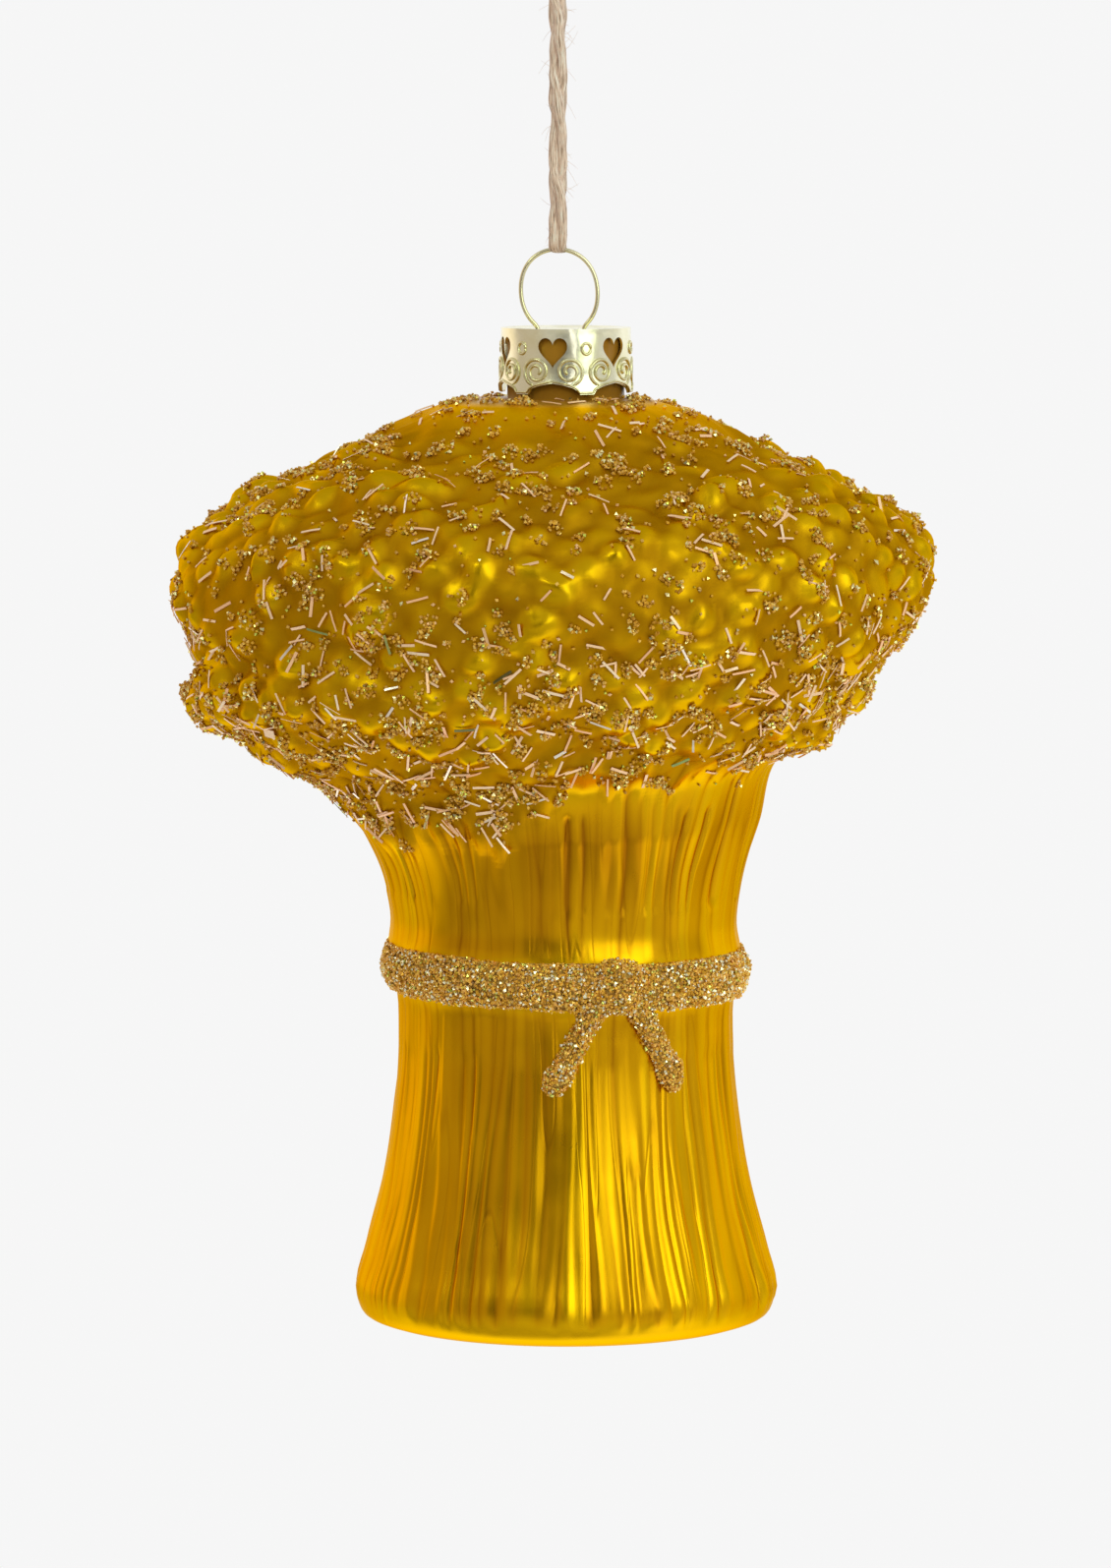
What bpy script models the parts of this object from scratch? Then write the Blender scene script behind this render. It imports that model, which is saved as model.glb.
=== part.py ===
"""Wheat sheaf ornament of blown glass, hanging on a loop of jute twine.

Metres, +Z up, front towards -Y. The origin is the hang point: the inside of the twine's
loop just under its knot. Heights named below are above the underside of the foot, and
azimuths run from the front (0) towards the right (+X).
"""

import math

import bmesh
import bpy
import numpy as np
from mathutils import Matrix

# Sheaf: one piece of blown glass, its stems gathered by a moulded tie
SHEAF_HEIGHT = 0.1005  # underside of the foot to the root of the neck
FOOT_RADIUS = 0.0229
FOOT_EDGE = 0.0025  # rounding under the stems' ends
WAIST_RADIUS = 0.01825
HEAD_RADIUS = 0.0410  # half of the head's width, between its kernels
HEAD_DEPTH = 0.86  # the head from front to back, as a share of its width
FLARE_DEPTHS = (1.0, 0.93, 0.84, 0.83)  # the same share at the head's four lowest stations
STEM_COUNT = 44
STEM_GROOVE = 0.0006
KERNEL_ROWS = 23
TOP_ROWS = 5  # rows of kernels near the cap, with half as many kernels each
KERNEL_RISE = 0.0012
KERNEL_SHIFT = 0.3  # how far the kernels stray from even rows, as a share of their spacing
EAR_WAVE = 0.0006  # slow waves over the head, where the ears lie beside each other
SHEAF_OFFSET = 0.00085  # the sheaf's axis lies this far right of the plumb line

# Tie round the waist
BAND_HEIGHT = 0.0385
BAND_THICKNESS = 0.0054
BAND_RISE = 0.0015
BAND_DROP = 0.00043  # the band lies this much lower on the right than in the middle
KNOT_AZIMUTH = math.radians(17.2)
KNOT_WIDTH = 0.0060
KNOT_HEIGHT = 0.0058
KNOT_RISE = 0.0011  # the tie's knot above its band
TAIL_RADIUS = 0.0012
TAIL_LIFT = 0.0001  # the tails' centre lines above the stems' crests
TAIL_DROP = 0.0089  # from the band's lower edge down to a tail's end
TAIL_STARTS = (-0.0016, 0.0016)  # sideways from the knot's middle to each tail's root
TAIL_ENDS = (-0.0070, 0.0070)  # and to its end

# Tin cap on the neck
CAP_RADIUS = 0.0070
CAP_HEIGHT = 0.0070
CAP_STAND = 0.0006  # between the root of the neck and the cap's edge
TIN = 0.0003
CAP_SHOULDER = 0.0005
SCALLOP = 0.0012  # depth of the notches between the cap's six lobes
SCALLOP_ROUND = 0.38  # exponent of a notch's outline: the smaller, the steeper its sides
LOBE_TURN = math.radians(7.0)  # half of the level edge of a lobe
LOBE_COUNT = 6
LOBE_AZIMUTH = math.radians(18.0)  # the lobe right of the front
HEART_WIDTH = 0.0032
HEART_HEIGHT = 0.0033
HEART_DROP = 0.0026  # middle of the hearts below the cap's top
NECK_GAP = 0.00035  # between the neck and the cap's wall
RIM_GAP = 0.0003  # between the neck's rim and the cap's top
GLASS_WALL = 0.0011
NECK_DEPTH = 0.0150  # cap's top down to the floor of the neck's bore

# Hanging ring: one springy wire, bent to a loop with two legs
WIRE = 0.00048
RING_HALF_WIDTH = 0.00414
RING_HALF_HEIGHT = 0.00455
RING_RISE = 0.00385  # the loop's middle above the cap's top
RING_ROUND = 2.15  # exponent of the loop's outline, 2 for an ellipse
RING_SHIFT = -0.00055  # sideways from the cap's axis, where the wire leaves the cap
RING_LEAN = -0.000165  # further sideways, at the loop's middle
LEG_PITCH = 0.00255  # half of the distance between the legs in the cap's top
LEG_DEPTH = 0.0130
LEG_KINK = 0.0006  # the legs leave the holes upright for this height
LEG_SETTLE = 0.0050  # depth at which the legs stand evenly about the neck's axis again
HOLE_GAP = 0.0003

RING_POINTS = 42

# Jute twine
TWINE = 0.0019
TWINE_POINTS = 30
LOOP_DROP = 0.0306  # hang point down to the top of the ring
KNOT_GAP = 0.0003
TWINE_KNOT_RADIUS = 0.0031
TWINE_KNOT_HEIGHT = 0.0058
TWINE_END_LENGTH = 0.0075
TWINE_END_SPREAD = 0.0036  # sideways from a short end's root to its tip
WRAP_DEPTH = 0.10  # of the knot's slanting wraps, as a share of its radius
# Route of the twine as (y, z): down the front leg, under the ring's wire, up the back leg
TWINE_ROUTE = (
    (-0.00145, 0.0000),
    (-0.00170, -0.0020),
    (-0.00215, -0.0050),
    (-0.00265, -0.0090),
    (-0.00310, -0.0135),
    (-0.00345, -0.0180),
    (-0.00368, -0.0225),
    (-0.00380, -0.0265),
    (-0.00365, -0.02955),
    (-0.00269, -0.03122),
    (-0.00140, -0.03206),
    (0.00000, -0.03234),
    (0.00140, -0.03206),
    (0.00269, -0.03122),
    (0.00365, -0.02955),
    (0.00380, -0.0265),
    (0.00368, -0.0225),
    (0.00345, -0.0180),
    (0.00310, -0.0135),
    (0.00265, -0.0090),
    (0.00215, -0.0050),
    (0.00170, -0.0020),
    (0.00145, 0.0000),
)

CAP_TOP = SHEAF_HEIGHT + CAP_STAND + CAP_HEIGHT
CAP_INNER = CAP_RADIUS - TIN
NECK_RADIUS = CAP_INNER - NECK_GAP
NECK_RIM = CAP_TOP - TIN - RIM_GAP
BORE_RADIUS = NECK_RADIUS - GLASS_WALL
RING_TOP = CAP_TOP + RING_RISE + RING_HALF_HEIGHT + WIRE / 2
FOOT_Z = -LOOP_DROP - RING_TOP
COLUMNS = 2 * STEM_COUNT  # a crest and a groove for each stem

# Outline of the stems: height as a share of SHEAF_HEIGHT, and how far out it stands on the
# left and on the right, between waist (0) and foot (1)
STEM_OUTLINE = (
    (0.079, 0.774, 0.774),
    (0.143, 0.420, 0.420),
    (0.225, 0.140, 0.140),
    (0.299, 0.000, 0.000),
    (0.434, 0.150, 0.075),
    (0.488, 0.400, 0.225),
)
# Outline of the head on the left and on the right, as shares of SHEAF_HEIGHT and
# HEAD_RADIUS: the left side droops lower and stands further out
HEAD_OUTLINE = (
    (0.530, 0.540, 0.547, 0.510),
    (0.577, 0.624, 0.607, 0.556),
    (0.617, 0.780, 0.640, 0.688),
    (0.655, 0.938, 0.676, 0.764),
    (0.683, 0.994, 0.710, 0.824),
    (0.719, 0.974, 0.748, 0.900),
    (0.776, 1.010, 0.798, 0.944),
    (0.836, 0.982, 0.846, 0.930),
    (0.881, 0.866, 0.886, 0.816),
    (0.915, 0.704, 0.915, 0.680),
    (0.951, 0.530, 0.951, 0.492),
    (0.982, 0.385, 0.982, 0.342),
    (0.997, 0.290, 0.997, 0.230),
)
FOOT_STEPS = 2
FIRST_HEAD = FOOT_STEPS + 1 + len(STEM_OUTLINE)  # index of the head's first station
KERNELS_START = FIRST_HEAD + 1
KERNELS_END = FIRST_HEAD + len(HEAD_OUTLINE) - 2


def distances(points):
    """Distance along the straight runs between points, from the first to each."""
    runs = np.linalg.norm(np.diff(points, axis=0), axis=1)
    return np.concatenate([[0.0], np.cumsum(runs)])


def read_curve(points, at):
    """Points at the distances `at` along a smooth curve through `points`."""
    points = np.asarray(points, float)
    knots = distances(points)
    slopes = np.gradient(points, knots, axis=0)
    span = np.clip(np.searchsorted(knots, at, side="right") - 1, 0, len(knots) - 2)
    step = (knots[span + 1] - knots[span])[:, None]
    t = (np.asarray(at)[:, None] - knots[span][:, None]) / step
    start = (1 + 2 * t) * (1 - t) ** 2 * points[span]
    leave = t * (1 - t) ** 2 * step * slopes[span]
    end = t**2 * (3 - 2 * t) * points[span + 1]
    arrive = t**2 * (t - 1) * step * slopes[span + 1]
    return start + leave + end + arrive


def evenly(points, count):
    """`count` points spaced evenly along a smooth curve through `points`."""
    points = np.asarray(points, float)
    return read_curve(points, np.linspace(0.0, distances(points)[-1], count))


def outline():
    """Stations of the sheaf's outline: height and radius on the left, then on the right."""
    rows = []
    for step in range(FOOT_STEPS + 1):
        turn = math.pi / 2 * step / FOOT_STEPS
        height = FOOT_EDGE * (1 - math.cos(turn))
        radius = FOOT_RADIUS - FOOT_EDGE * (1 - math.sin(turn))
        rows.append((height, radius, height, radius))
    for share, *outs in STEM_OUTLINE:
        height = share * SHEAF_HEIGHT
        left, right = (WAIST_RADIUS + out * (FOOT_RADIUS - WAIST_RADIUS) for out in outs)
        rows.append((height, left, height, right))
    scale = (SHEAF_HEIGHT, HEAD_RADIUS, SHEAF_HEIGHT, HEAD_RADIUS)
    rows += [tuple(np.multiply(station, scale)) for station in HEAD_OUTLINE]
    rows.append((SHEAF_HEIGHT, NECK_RADIUS, SHEAF_HEIGHT, NECK_RADIUS))
    return np.array(rows)


OUTLINE = outline()
STATIONS = distances(OUTLINE)


def along_at(height):
    """Distance along the outline at a height on the stems, where both sides are alike."""
    at = np.linspace(0.0, STATIONS[FIRST_HEAD], 200)
    return np.interp(height, read_curve(OUTLINE, at)[:, 0], at)


def uneven(first, second):
    """A share from 0 to 1 that looks random, the same for the same two numbers."""
    return np.modf(np.abs(np.sin(first * 12.9898 + second * 78.233) * 43758.5453))[0]


def skin(azimuth, along, rise):
    """Points of the sheaf's skin, raised by `rise` square to its outline."""
    left = (1 - np.sin(azimuth)) / 2
    here = read_curve(OUTLINE, along)
    step = read_curve(OUTLINE, along + 1e-5) - here
    height, radius = (here[:, k + 2] + (here[:, k] - here[:, k + 2]) * left for k in (0, 1))
    up, out = (step[:, k + 2] + (step[:, k] - step[:, k + 2]) * left for k in (0, 1))
    length = np.hypot(up, out)
    radius = radius + rise * up / length
    height = height - rise * out / length
    turns = STATIONS[[*range(FIRST_HEAD, FIRST_HEAD + len(FLARE_DEPTHS) + 1), -4, -2]]
    depth = np.interp(along, turns, (*FLARE_DEPTHS, HEAD_DEPTH, HEAD_DEPTH, 1.0))
    x = SHEAF_OFFSET + radius * np.sin(azimuth)
    y = -radius * np.cos(azimuth) * depth
    return np.stack([x, y, height + FOOT_Z], axis=1)


def stem_azimuths(height):
    """Azimuths of the stems' crests and grooves, unevenly spaced and slightly wavy."""
    even = 2 * math.pi * np.arange(COLUMNS) / COLUMNS
    spacing = 0.030 * np.sin(5 * even + 0.7) + 0.020 * np.sin(11 * even + 2.1)
    wave = 0.012 * np.sin(7 * even + 11 * height / SHEAF_HEIGHT)
    settle = np.interp(height, (0.50 * SHEAF_HEIGHT, 0.58 * SHEAF_HEIGHT), (1.0, 0.0))
    return even + (spacing + wave) * settle


def groove_rises(share):
    """Rises of a stem row: crests at 0 and grooves below them, deeper here and there."""
    column = np.arange(COLUMNS)
    depth = STEM_GROOVE * (0.7 + 0.6 * uneven(column, 3.0)) * share
    return np.where(column % 2 == 1, -depth, 0.0)


def band_height(azimuth):
    return BAND_HEIGHT - BAND_DROP * np.sin(azimuth)


def kernel_rises(row, count):
    """Rises of a row of the head: kernels on every other column, staggered from row to row."""
    column = np.arange(count)
    azimuth = 2 * math.pi * column / count
    wave = EAR_WAVE * np.sin(7 * azimuth + 0.9 * row) * np.sin(3 * azimuth + 0.4 * row)
    kernel = np.where((column + row) % 2 == 0, 0.7 + 0.6 * uneven(column, row + 1.0), 0.0)
    last = KERNEL_ROWS - 1
    swell = np.interp(row, (0, 1, 3, last - 3, last), (0.1, 0.4, 1.0, 1.0, 0.5))
    return wave + KERNEL_RISE * kernel * swell


def material(name, color, metallic, roughness):
    made = bpy.data.materials.new(name)
    made.use_nodes = True
    made.diffuse_color = (*color, 1.0)
    shader = made.node_tree.nodes["Principled BSDF"]
    shader.inputs["Base Color"].default_value = (*color, 1.0)
    shader.inputs["Metallic"].default_value = metallic
    shader.inputs["Roughness"].default_value = roughness
    return made


def add_object(name, data, finish=None):
    made = bpy.data.objects.new(name, data)
    bpy.context.scene.collection.objects.link(made)
    if finish:
        data.materials.append(finish)
    return made


def mesh_object(name, bm, finish=None, crease=40.0):
    """An object from a bmesh, smooth up to its crease angle; without a finish it is a helper."""
    bmesh.ops.recalc_face_normals(bm, faces=bm.faces)
    data = bpy.data.meshes.new(name)
    bm.to_mesh(data)
    bm.free()
    made = add_object(name, data, finish)
    if finish:
        data.shade_smooth()
        data.set_sharp_from_angle(angle=math.radians(crease))
    else:
        made.hide_render = True
        made.display_type = "WIRE"
    return made


def combine(target, helper, operation):
    step = target.modifiers.new(helper.name, "BOOLEAN")
    step.operation = operation
    step.object = helper


def add_ring(bm, points):
    return [bm.verts.new(tuple(map(float, point))) for point in points]


def join_rings(bm, lower, upper, lift=None):
    """Faces between two rings of one count, or of twice as many below as above.

    Where `lift` gives both rings' rises, each pair of triangles meets along the
    diagonal that lies lower, so that a kernel stands apart from the next one.
    """
    count = len(upper)
    for i in range(count):
        after = (i + 1) % count
        if len(lower) == 2 * count:
            a, b, c = lower[2 * i], lower[2 * i + 1], lower[(2 * i + 2) % len(lower)]
            bm.faces.new((a, b, upper[i]))
            bm.faces.new((b, c, upper[after]))
            bm.faces.new((b, upper[after], upper[i]))
            continue
        a, b, c, d = lower[i], lower[after], upper[after], upper[i]
        if lift is not None and lift[0][i] + lift[1][after] > lift[0][after] + lift[1][i]:
            bm.faces.new((a, b, d))
            bm.faces.new((b, c, d))
        else:
            bm.faces.new((a, b, c))
            bm.faces.new((a, c, d))


def close_ring(bm, ring, point, below=False):
    """A fan of faces from a ring to one point."""
    middle = bm.verts.new(tuple(map(float, point)))
    for i in range(len(ring)):
        pair = (ring[i], ring[(i + 1) % len(ring)])
        bm.faces.new((*(reversed(pair) if below else pair), middle))


def circle(count, radius, height, centre=0.0):
    """Points of a level circle, from the front towards the right."""
    azimuth = 2 * math.pi * np.arange(count) / count
    x = centre + radius * np.sin(azimuth)
    y = -radius * np.cos(azimuth)
    return np.stack([x, y, np.full(count, height + FOOT_Z)], axis=1)


def stem_rows():
    """Azimuths, distances along the outline and rises of the rows from foot to head."""
    rows = []
    for station, share in zip(range(FOOT_STEPS + 1), (0.2, 0.6, 1.0)):
        rows.append((stem_azimuths(0.0), np.full(COLUMNS, STATIONS[station]), groove_rises(share)))
    half = BAND_THICKNESS / 2
    low, high = BAND_HEIGHT - half, BAND_HEIGHT + half
    below = np.linspace(FOOT_EDGE, low, 6)[1:-1]
    above = np.linspace(high, OUTLINE[FIRST_HEAD][0], 4)[1:-1]
    for height in below:
        rows.append((stem_azimuths(height), np.full(COLUMNS, along_at(height)), groove_rises(1.0)))
    for share in (-1.0, -0.8, 0.0, 0.8, 1.0):
        azimuth = stem_azimuths(BAND_HEIGHT)
        along = along_at(band_height(azimuth) + share * half)
        level = np.full(COLUMNS, BAND_RISE * math.sqrt(1 - share**2))
        rows.append((azimuth, along, groove_rises(1.0) if abs(share) == 1.0 else level))
    for height in above:
        rows.append((stem_azimuths(height), np.full(COLUMNS, along_at(height)), groove_rises(1.0)))
    fade = STATIONS[FIRST_HEAD]
    rows.append((stem_azimuths(OUTLINE[FIRST_HEAD][0]), np.full(COLUMNS, fade), groove_rises(0.6)))
    return rows


def head_rows():
    """Azimuths, distances along the outline and rises of the rows of kernels."""
    rows = []
    alongs = np.linspace(STATIONS[KERNELS_START], STATIONS[KERNELS_END], KERNEL_ROWS)
    for row, along in enumerate(alongs):
        count = COLUMNS if row < KERNEL_ROWS - TOP_ROWS else COLUMNS // 2
        column = np.arange(count)
        sideways = KERNEL_SHIFT * (uneven(column, row + 40.0) - 0.5) * min(1.0, row / 2)
        up = KERNEL_SHIFT * (uneven(column, row + 80.0) - 0.5) * (0 < row < KERNEL_ROWS - 1)
        azimuth = 2 * math.pi * (column + sideways) / count
        rows.append((azimuth, along + up * (alongs[1] - alongs[0]), kernel_rises(row, count)))
    return rows


def make_sheaf(finish):
    """The whole glass: stems, band, head and neck, with the neck's bore."""
    bm = bmesh.new()
    rows = stem_rows() + head_rows()
    rings = [add_ring(bm, skin(*row)) for row in rows]
    close_ring(bm, rings[0], (SHEAF_OFFSET, 0.0, FOOT_Z), below=True)
    for (lower, upper), (row, after) in zip(zip(rings, rings[1:]), zip(rows, rows[1:])):
        join_rings(bm, lower, upper, lift=(row[2], after[2]))

    count = COLUMNS // 4
    azimuth = 2 * math.pi * np.arange(count) / count
    last = STATIONS[-2]
    neck = [skin(azimuth, np.full(count, at), np.zeros(count)) for at in (last, STATIONS[-1])]
    lip = GLASS_WALL / 4
    for radius, height in (
        (NECK_RADIUS, NECK_RIM - lip),
        (NECK_RADIUS - lip, NECK_RIM),
        (BORE_RADIUS + lip, NECK_RIM),
        (BORE_RADIUS, NECK_RIM - lip),
        (BORE_RADIUS, CAP_TOP - NECK_DEPTH),
    ):
        neck.append(circle(count, radius, height, SHEAF_OFFSET))
    below = rings[-1]
    for points in neck:
        ring = add_ring(bm, points)
        join_rings(bm, below, ring)
        below = ring
    close_ring(bm, below, (SHEAF_OFFSET, 0.0, FOOT_Z + CAP_TOP - NECK_DEPTH))
    sheaf = mesh_object("glass_sheaf", bm, finish, crease=12.0)
    combine(sheaf, tie_knot(), "UNION")
    for name, start, end in zip(("tie_tail_left", "tie_tail_right"), TAIL_STARTS, TAIL_ENDS):
        combine(sheaf, tie_tail(name, start, end), "UNION")
    return sheaf


def tie_place(sideways, height, rise):
    """A point over the stems, sideways from the middle of the tie's knot."""
    azimuth = np.array([KNOT_AZIMUTH + sideways / WAIST_RADIUS])
    return skin(azimuth, np.array([along_at(height)]), np.array([rise]))[0]


def tie_knot():
    """The moulded knot of the tie, a flattened ball that stands out of the band."""
    bm = bmesh.new()
    bmesh.ops.create_uvsphere(bm, u_segments=14, v_segments=8, radius=1.0)
    deep = BAND_RISE + KNOT_RISE
    bmesh.ops.scale(bm, verts=bm.verts, vec=(KNOT_WIDTH / 2, deep, KNOT_HEIGHT / 2))
    bmesh.ops.rotate(bm, verts=bm.verts, matrix=Matrix.Rotation(KNOT_AZIMUTH, 3, "Z"))
    bmesh.ops.translate(bm, verts=bm.verts, vec=tie_place(0.0, BAND_HEIGHT, 0.0))
    return mesh_object("tie_knot", bm)


def tie_tail(name, start, end):
    """One moulded end of the tie, lying down over the stems with a rounded tip."""
    places = []
    for share in np.linspace(0.0, 1.0, 7):
        sideways = start + (end - start) * share**0.9
        height = BAND_HEIGHT - BAND_THICKNESS / 2 + TAIL_RADIUS * (1 - share) - TAIL_DROP * share
        places.append(tie_place(sideways, height, TAIL_LIFT))
    swells = (0.8, 1.0, 0.95, 0.95, 1.0, 1.05, 0.75)
    return mesh_object(name, tube(bmesh.new(), places, swells, TAIL_RADIUS))


def tube(bm, places, swells, radius, sides=8):
    """A closed tube through `places`, its radius scaled at each by a share of `swells`."""
    places = np.array(places)
    ways = np.gradient(places, axis=0)
    rings = []
    for place, way, swell in zip(places, ways, swells):
        way = way / np.linalg.norm(way)
        across = np.cross(way, (0.0, 1.0, 0.0))
        across /= np.linalg.norm(across)
        outwards = np.cross(across, way)
        turns = 2 * math.pi * np.arange(sides) / sides
        offsets = np.outer(np.cos(turns), across) + np.outer(np.sin(turns), outwards)
        rings.append(add_ring(bm, place + radius * swell * offsets))
    for lower, upper in zip(rings, rings[1:]):
        join_rings(bm, lower, upper)
    ways /= np.linalg.norm(ways, axis=1)[:, None]
    close_ring(bm, rings[0], places[0] - 0.4 * radius * ways[0], below=True)
    close_ring(bm, rings[-1], places[-1] + 0.6 * radius * ways[-1])
    return bm


def make_cap(finish):
    """Tin cup over the neck, with a scalloped edge, pierced hearts and two wire holes."""
    bm = bmesh.new()
    count = 6 * LOBE_COUNT
    azimuth = 2 * math.pi * np.arange(count) / count + LOBE_AZIMUTH
    half = math.pi / LOBE_COUNT
    off = np.abs((azimuth - LOBE_AZIMUTH + half) % (2 * half) - half)
    notch = np.clip((off - LOBE_TURN) / (half - LOBE_TURN), 0.0, 1.0) ** SCALLOP_ROUND
    edge = CAP_TOP - CAP_HEIGHT + SCALLOP * notch

    def level(radius, height):
        heights = np.broadcast_to(height, count) + FOOT_Z
        x = SHEAF_OFFSET + radius * np.sin(azimuth)
        return np.stack([x, -radius * np.cos(azimuth), heights], axis=1)

    bend = CAP_SHOULDER * (1 - math.sqrt(0.5))
    sections = (
        (CAP_INNER, CAP_TOP - TIN),
        (CAP_INNER, edge),
        (CAP_RADIUS, edge),
        (CAP_RADIUS, CAP_TOP - CAP_SHOULDER),
        (CAP_RADIUS - bend, CAP_TOP - bend),
        (CAP_RADIUS - CAP_SHOULDER, CAP_TOP),
    )
    rings = [add_ring(bm, level(*section)) for section in sections]
    for lower, upper in zip(rings, rings[1:]):
        join_rings(bm, lower, upper)
    top = (SHEAF_OFFSET, 0.0, FOOT_Z + CAP_TOP)
    close_ring(bm, rings[-1], top)
    close_ring(bm, rings[0], (SHEAF_OFFSET, 0.0, top[2] - TIN), below=True)
    cap = mesh_object("cap", bm, finish)
    for k in range(LOBE_COUNT):
        turn = LOBE_AZIMUTH + 2 * math.pi * (k + 0.5) / LOBE_COUNT
        combine(cap, heart_cutter(f"heart_{k + 1}", turn), "DIFFERENCE")
    for name, side in (("hole_left", -1), ("hole_right", 1)):
        combine(cap, wire_hole(name, side), "DIFFERENCE")
    return cap


def heart_outline(count=14):
    """A heart as (across, up), the usual curve, fitted to its width and height."""
    turn = 2 * math.pi * np.arange(count) / count
    across = np.sin(turn) ** 3
    up = (13 * np.cos(turn) - 5 * np.cos(2 * turn) - 2 * np.cos(3 * turn) - np.cos(4 * turn)) / 16
    up = (up - up.min()) / (up.max() - up.min()) - 0.5
    return np.stack([across * HEART_WIDTH / 2, up * HEART_HEIGHT], axis=1)


def heart_cutter(name, azimuth):
    """A heart-shaped bar that runs out through the cap's wall at an azimuth."""
    bm = bmesh.new()
    out = np.array([math.sin(azimuth), -math.cos(azimuth), 0.0])
    right = np.array([math.cos(azimuth), math.sin(azimuth), 0.0])
    middle = np.array([SHEAF_OFFSET, 0.0, FOOT_Z + CAP_TOP - HEART_DROP])
    ends = []
    for reach in (CAP_INNER - 3 * TIN, CAP_RADIUS + 3 * TIN):
        flat = heart_outline()
        points = middle + out * reach + np.outer(flat[:, 0], right)
        points[:, 2] += flat[:, 1]
        ends.append(add_ring(bm, points))
    join_rings(bm, *ends)
    bm.faces.new(ends[0])
    bm.faces.new(ends[1])
    return mesh_object(name, bm)


def wire_hole(name, side):
    bm = bmesh.new()
    wide = WIRE / 2 + HOLE_GAP
    bmesh.ops.create_cone(bm, cap_ends=True, segments=12, radius1=wide, radius2=wide, depth=4 * TIN)
    across = SHEAF_OFFSET + RING_SHIFT + side * LEG_PITCH
    place = (across, 0.0, FOOT_Z + CAP_TOP - TIN / 2)
    bmesh.ops.translate(bm, verts=bm.verts, vec=place)
    return mesh_object(name, bm)


def rod(name, points, diameter, smoothness, finish):
    """A round rod along points, as a curve with filled ends."""
    data = bpy.data.curves.new(name, "CURVE")
    data.dimensions = "3D"
    data.bevel_depth = diameter / 2
    data.bevel_resolution = smoothness
    data.use_fill_caps = True
    run = data.splines.new("POLY")
    run.points.add(len(points) - 1)
    for spot, point in zip(run.points, points):
        spot.co = (*map(float, point), 1.0)
    return add_object(name, data, finish)


def ring_half():
    """Half of the wire as (out, height over the cap's top), from the leg's tip to the top."""
    grip = BORE_RADIUS - WIRE / 2 - HOLE_GAP
    spread = grip - LEG_PITCH
    leg = [(LEG_PITCH + spread * share**1.6, -LEG_DEPTH * share) for share in (1.0, 0.55, 0.2, 0.0)]
    foot = math.asin(min(1.0, LEG_PITCH / RING_HALF_WIDTH))
    loop = []
    for turn in np.linspace(math.pi - 0.8 * foot, 0.0, 15)[1:]:
        out = RING_HALF_WIDTH * abs(math.sin(turn)) ** (2 / RING_ROUND)
        up = RING_HALF_HEIGHT * math.copysign(abs(math.cos(turn)) ** (2 / RING_ROUND), math.cos(turn))
        if RING_RISE + up > LEG_KINK:
            loop.append((out, RING_RISE + up))
    return leg + loop


def make_ring(finish):
    """The hanging ring: a loop over the cap and two legs that grip the neck's bore."""
    half = ring_half()
    whole = [(-out, up) for out, up in half[:-1]] + [(0.0, half[-1][1])]
    whole += [(out, up) for out, up in reversed(half[:-1])]
    points = []
    for sideways, up in evenly(whole, RING_POINTS):
        lean = RING_SHIFT * min(1.0, max(0.0, 1 + up / LEG_SETTLE))
        lean += RING_LEAN * max(0.0, up) / RING_RISE
        points.append((SHEAF_OFFSET + sideways + lean, 0.0, FOOT_Z + CAP_TOP + up))
    return rod("hanging_ring", points, WIRE, 1, finish)


def make_twine(finish):
    route = [(0.0, y, z) for y, z in TWINE_ROUTE]
    return rod("twine", evenly(route, TWINE_POINTS), TWINE, 2, finish)


def make_twine_knot(finish):
    """The knot that closes the loop: a barrel of slanting wraps with two short ends."""
    bm = bmesh.new()
    count = 16
    azimuth = 2 * math.pi * np.arange(count) / count
    rings = []
    for share in np.linspace(0.0, 1.0, 8):
        swell = math.sqrt(1 - (0.88 * (2 * share - 1)) ** 2)
        wraps = 1 + WRAP_DEPTH * np.cos(2 * azimuth - 9 * share)
        radius = TWINE_KNOT_RADIUS * swell * wraps
        height = np.full(count, KNOT_GAP + share * TWINE_KNOT_HEIGHT)
        x = radius * np.sin(azimuth)
        rings.append(add_ring(bm, np.stack([x, -radius * np.cos(azimuth), height], axis=1)))
    for lower, upper in zip(rings, rings[1:]):
        join_rings(bm, lower, upper)
    close_ring(bm, rings[0], (0.0, 0.0, KNOT_GAP), below=True)
    close_ring(bm, rings[-1], (0.0, 0.0, KNOT_GAP + TWINE_KNOT_HEIGHT))
    knot = mesh_object("twine_knot", bm, finish)
    for name, side in (("twine_end_left", -1), ("twine_end_right", 1)):
        places = []
        for share in np.linspace(0.0, 1.0, 5):
            sideways = side * (0.3 * TWINE + TWINE_END_SPREAD * share**1.3)
            height = KNOT_GAP + 0.6 * TWINE_KNOT_HEIGHT + TWINE_END_LENGTH * share
            places.append((sideways, 0.4 * TWINE * side * math.sin(2 * share), height))
        end = mesh_object(name, tube(bmesh.new(), places, (1, 1, 1, 1.05, 0.9), TWINE / 2))
        combine(knot, end, "UNION")
    return knot


def clear_scene():
    for old in list(bpy.data.objects):
        bpy.data.objects.remove(old)


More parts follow.
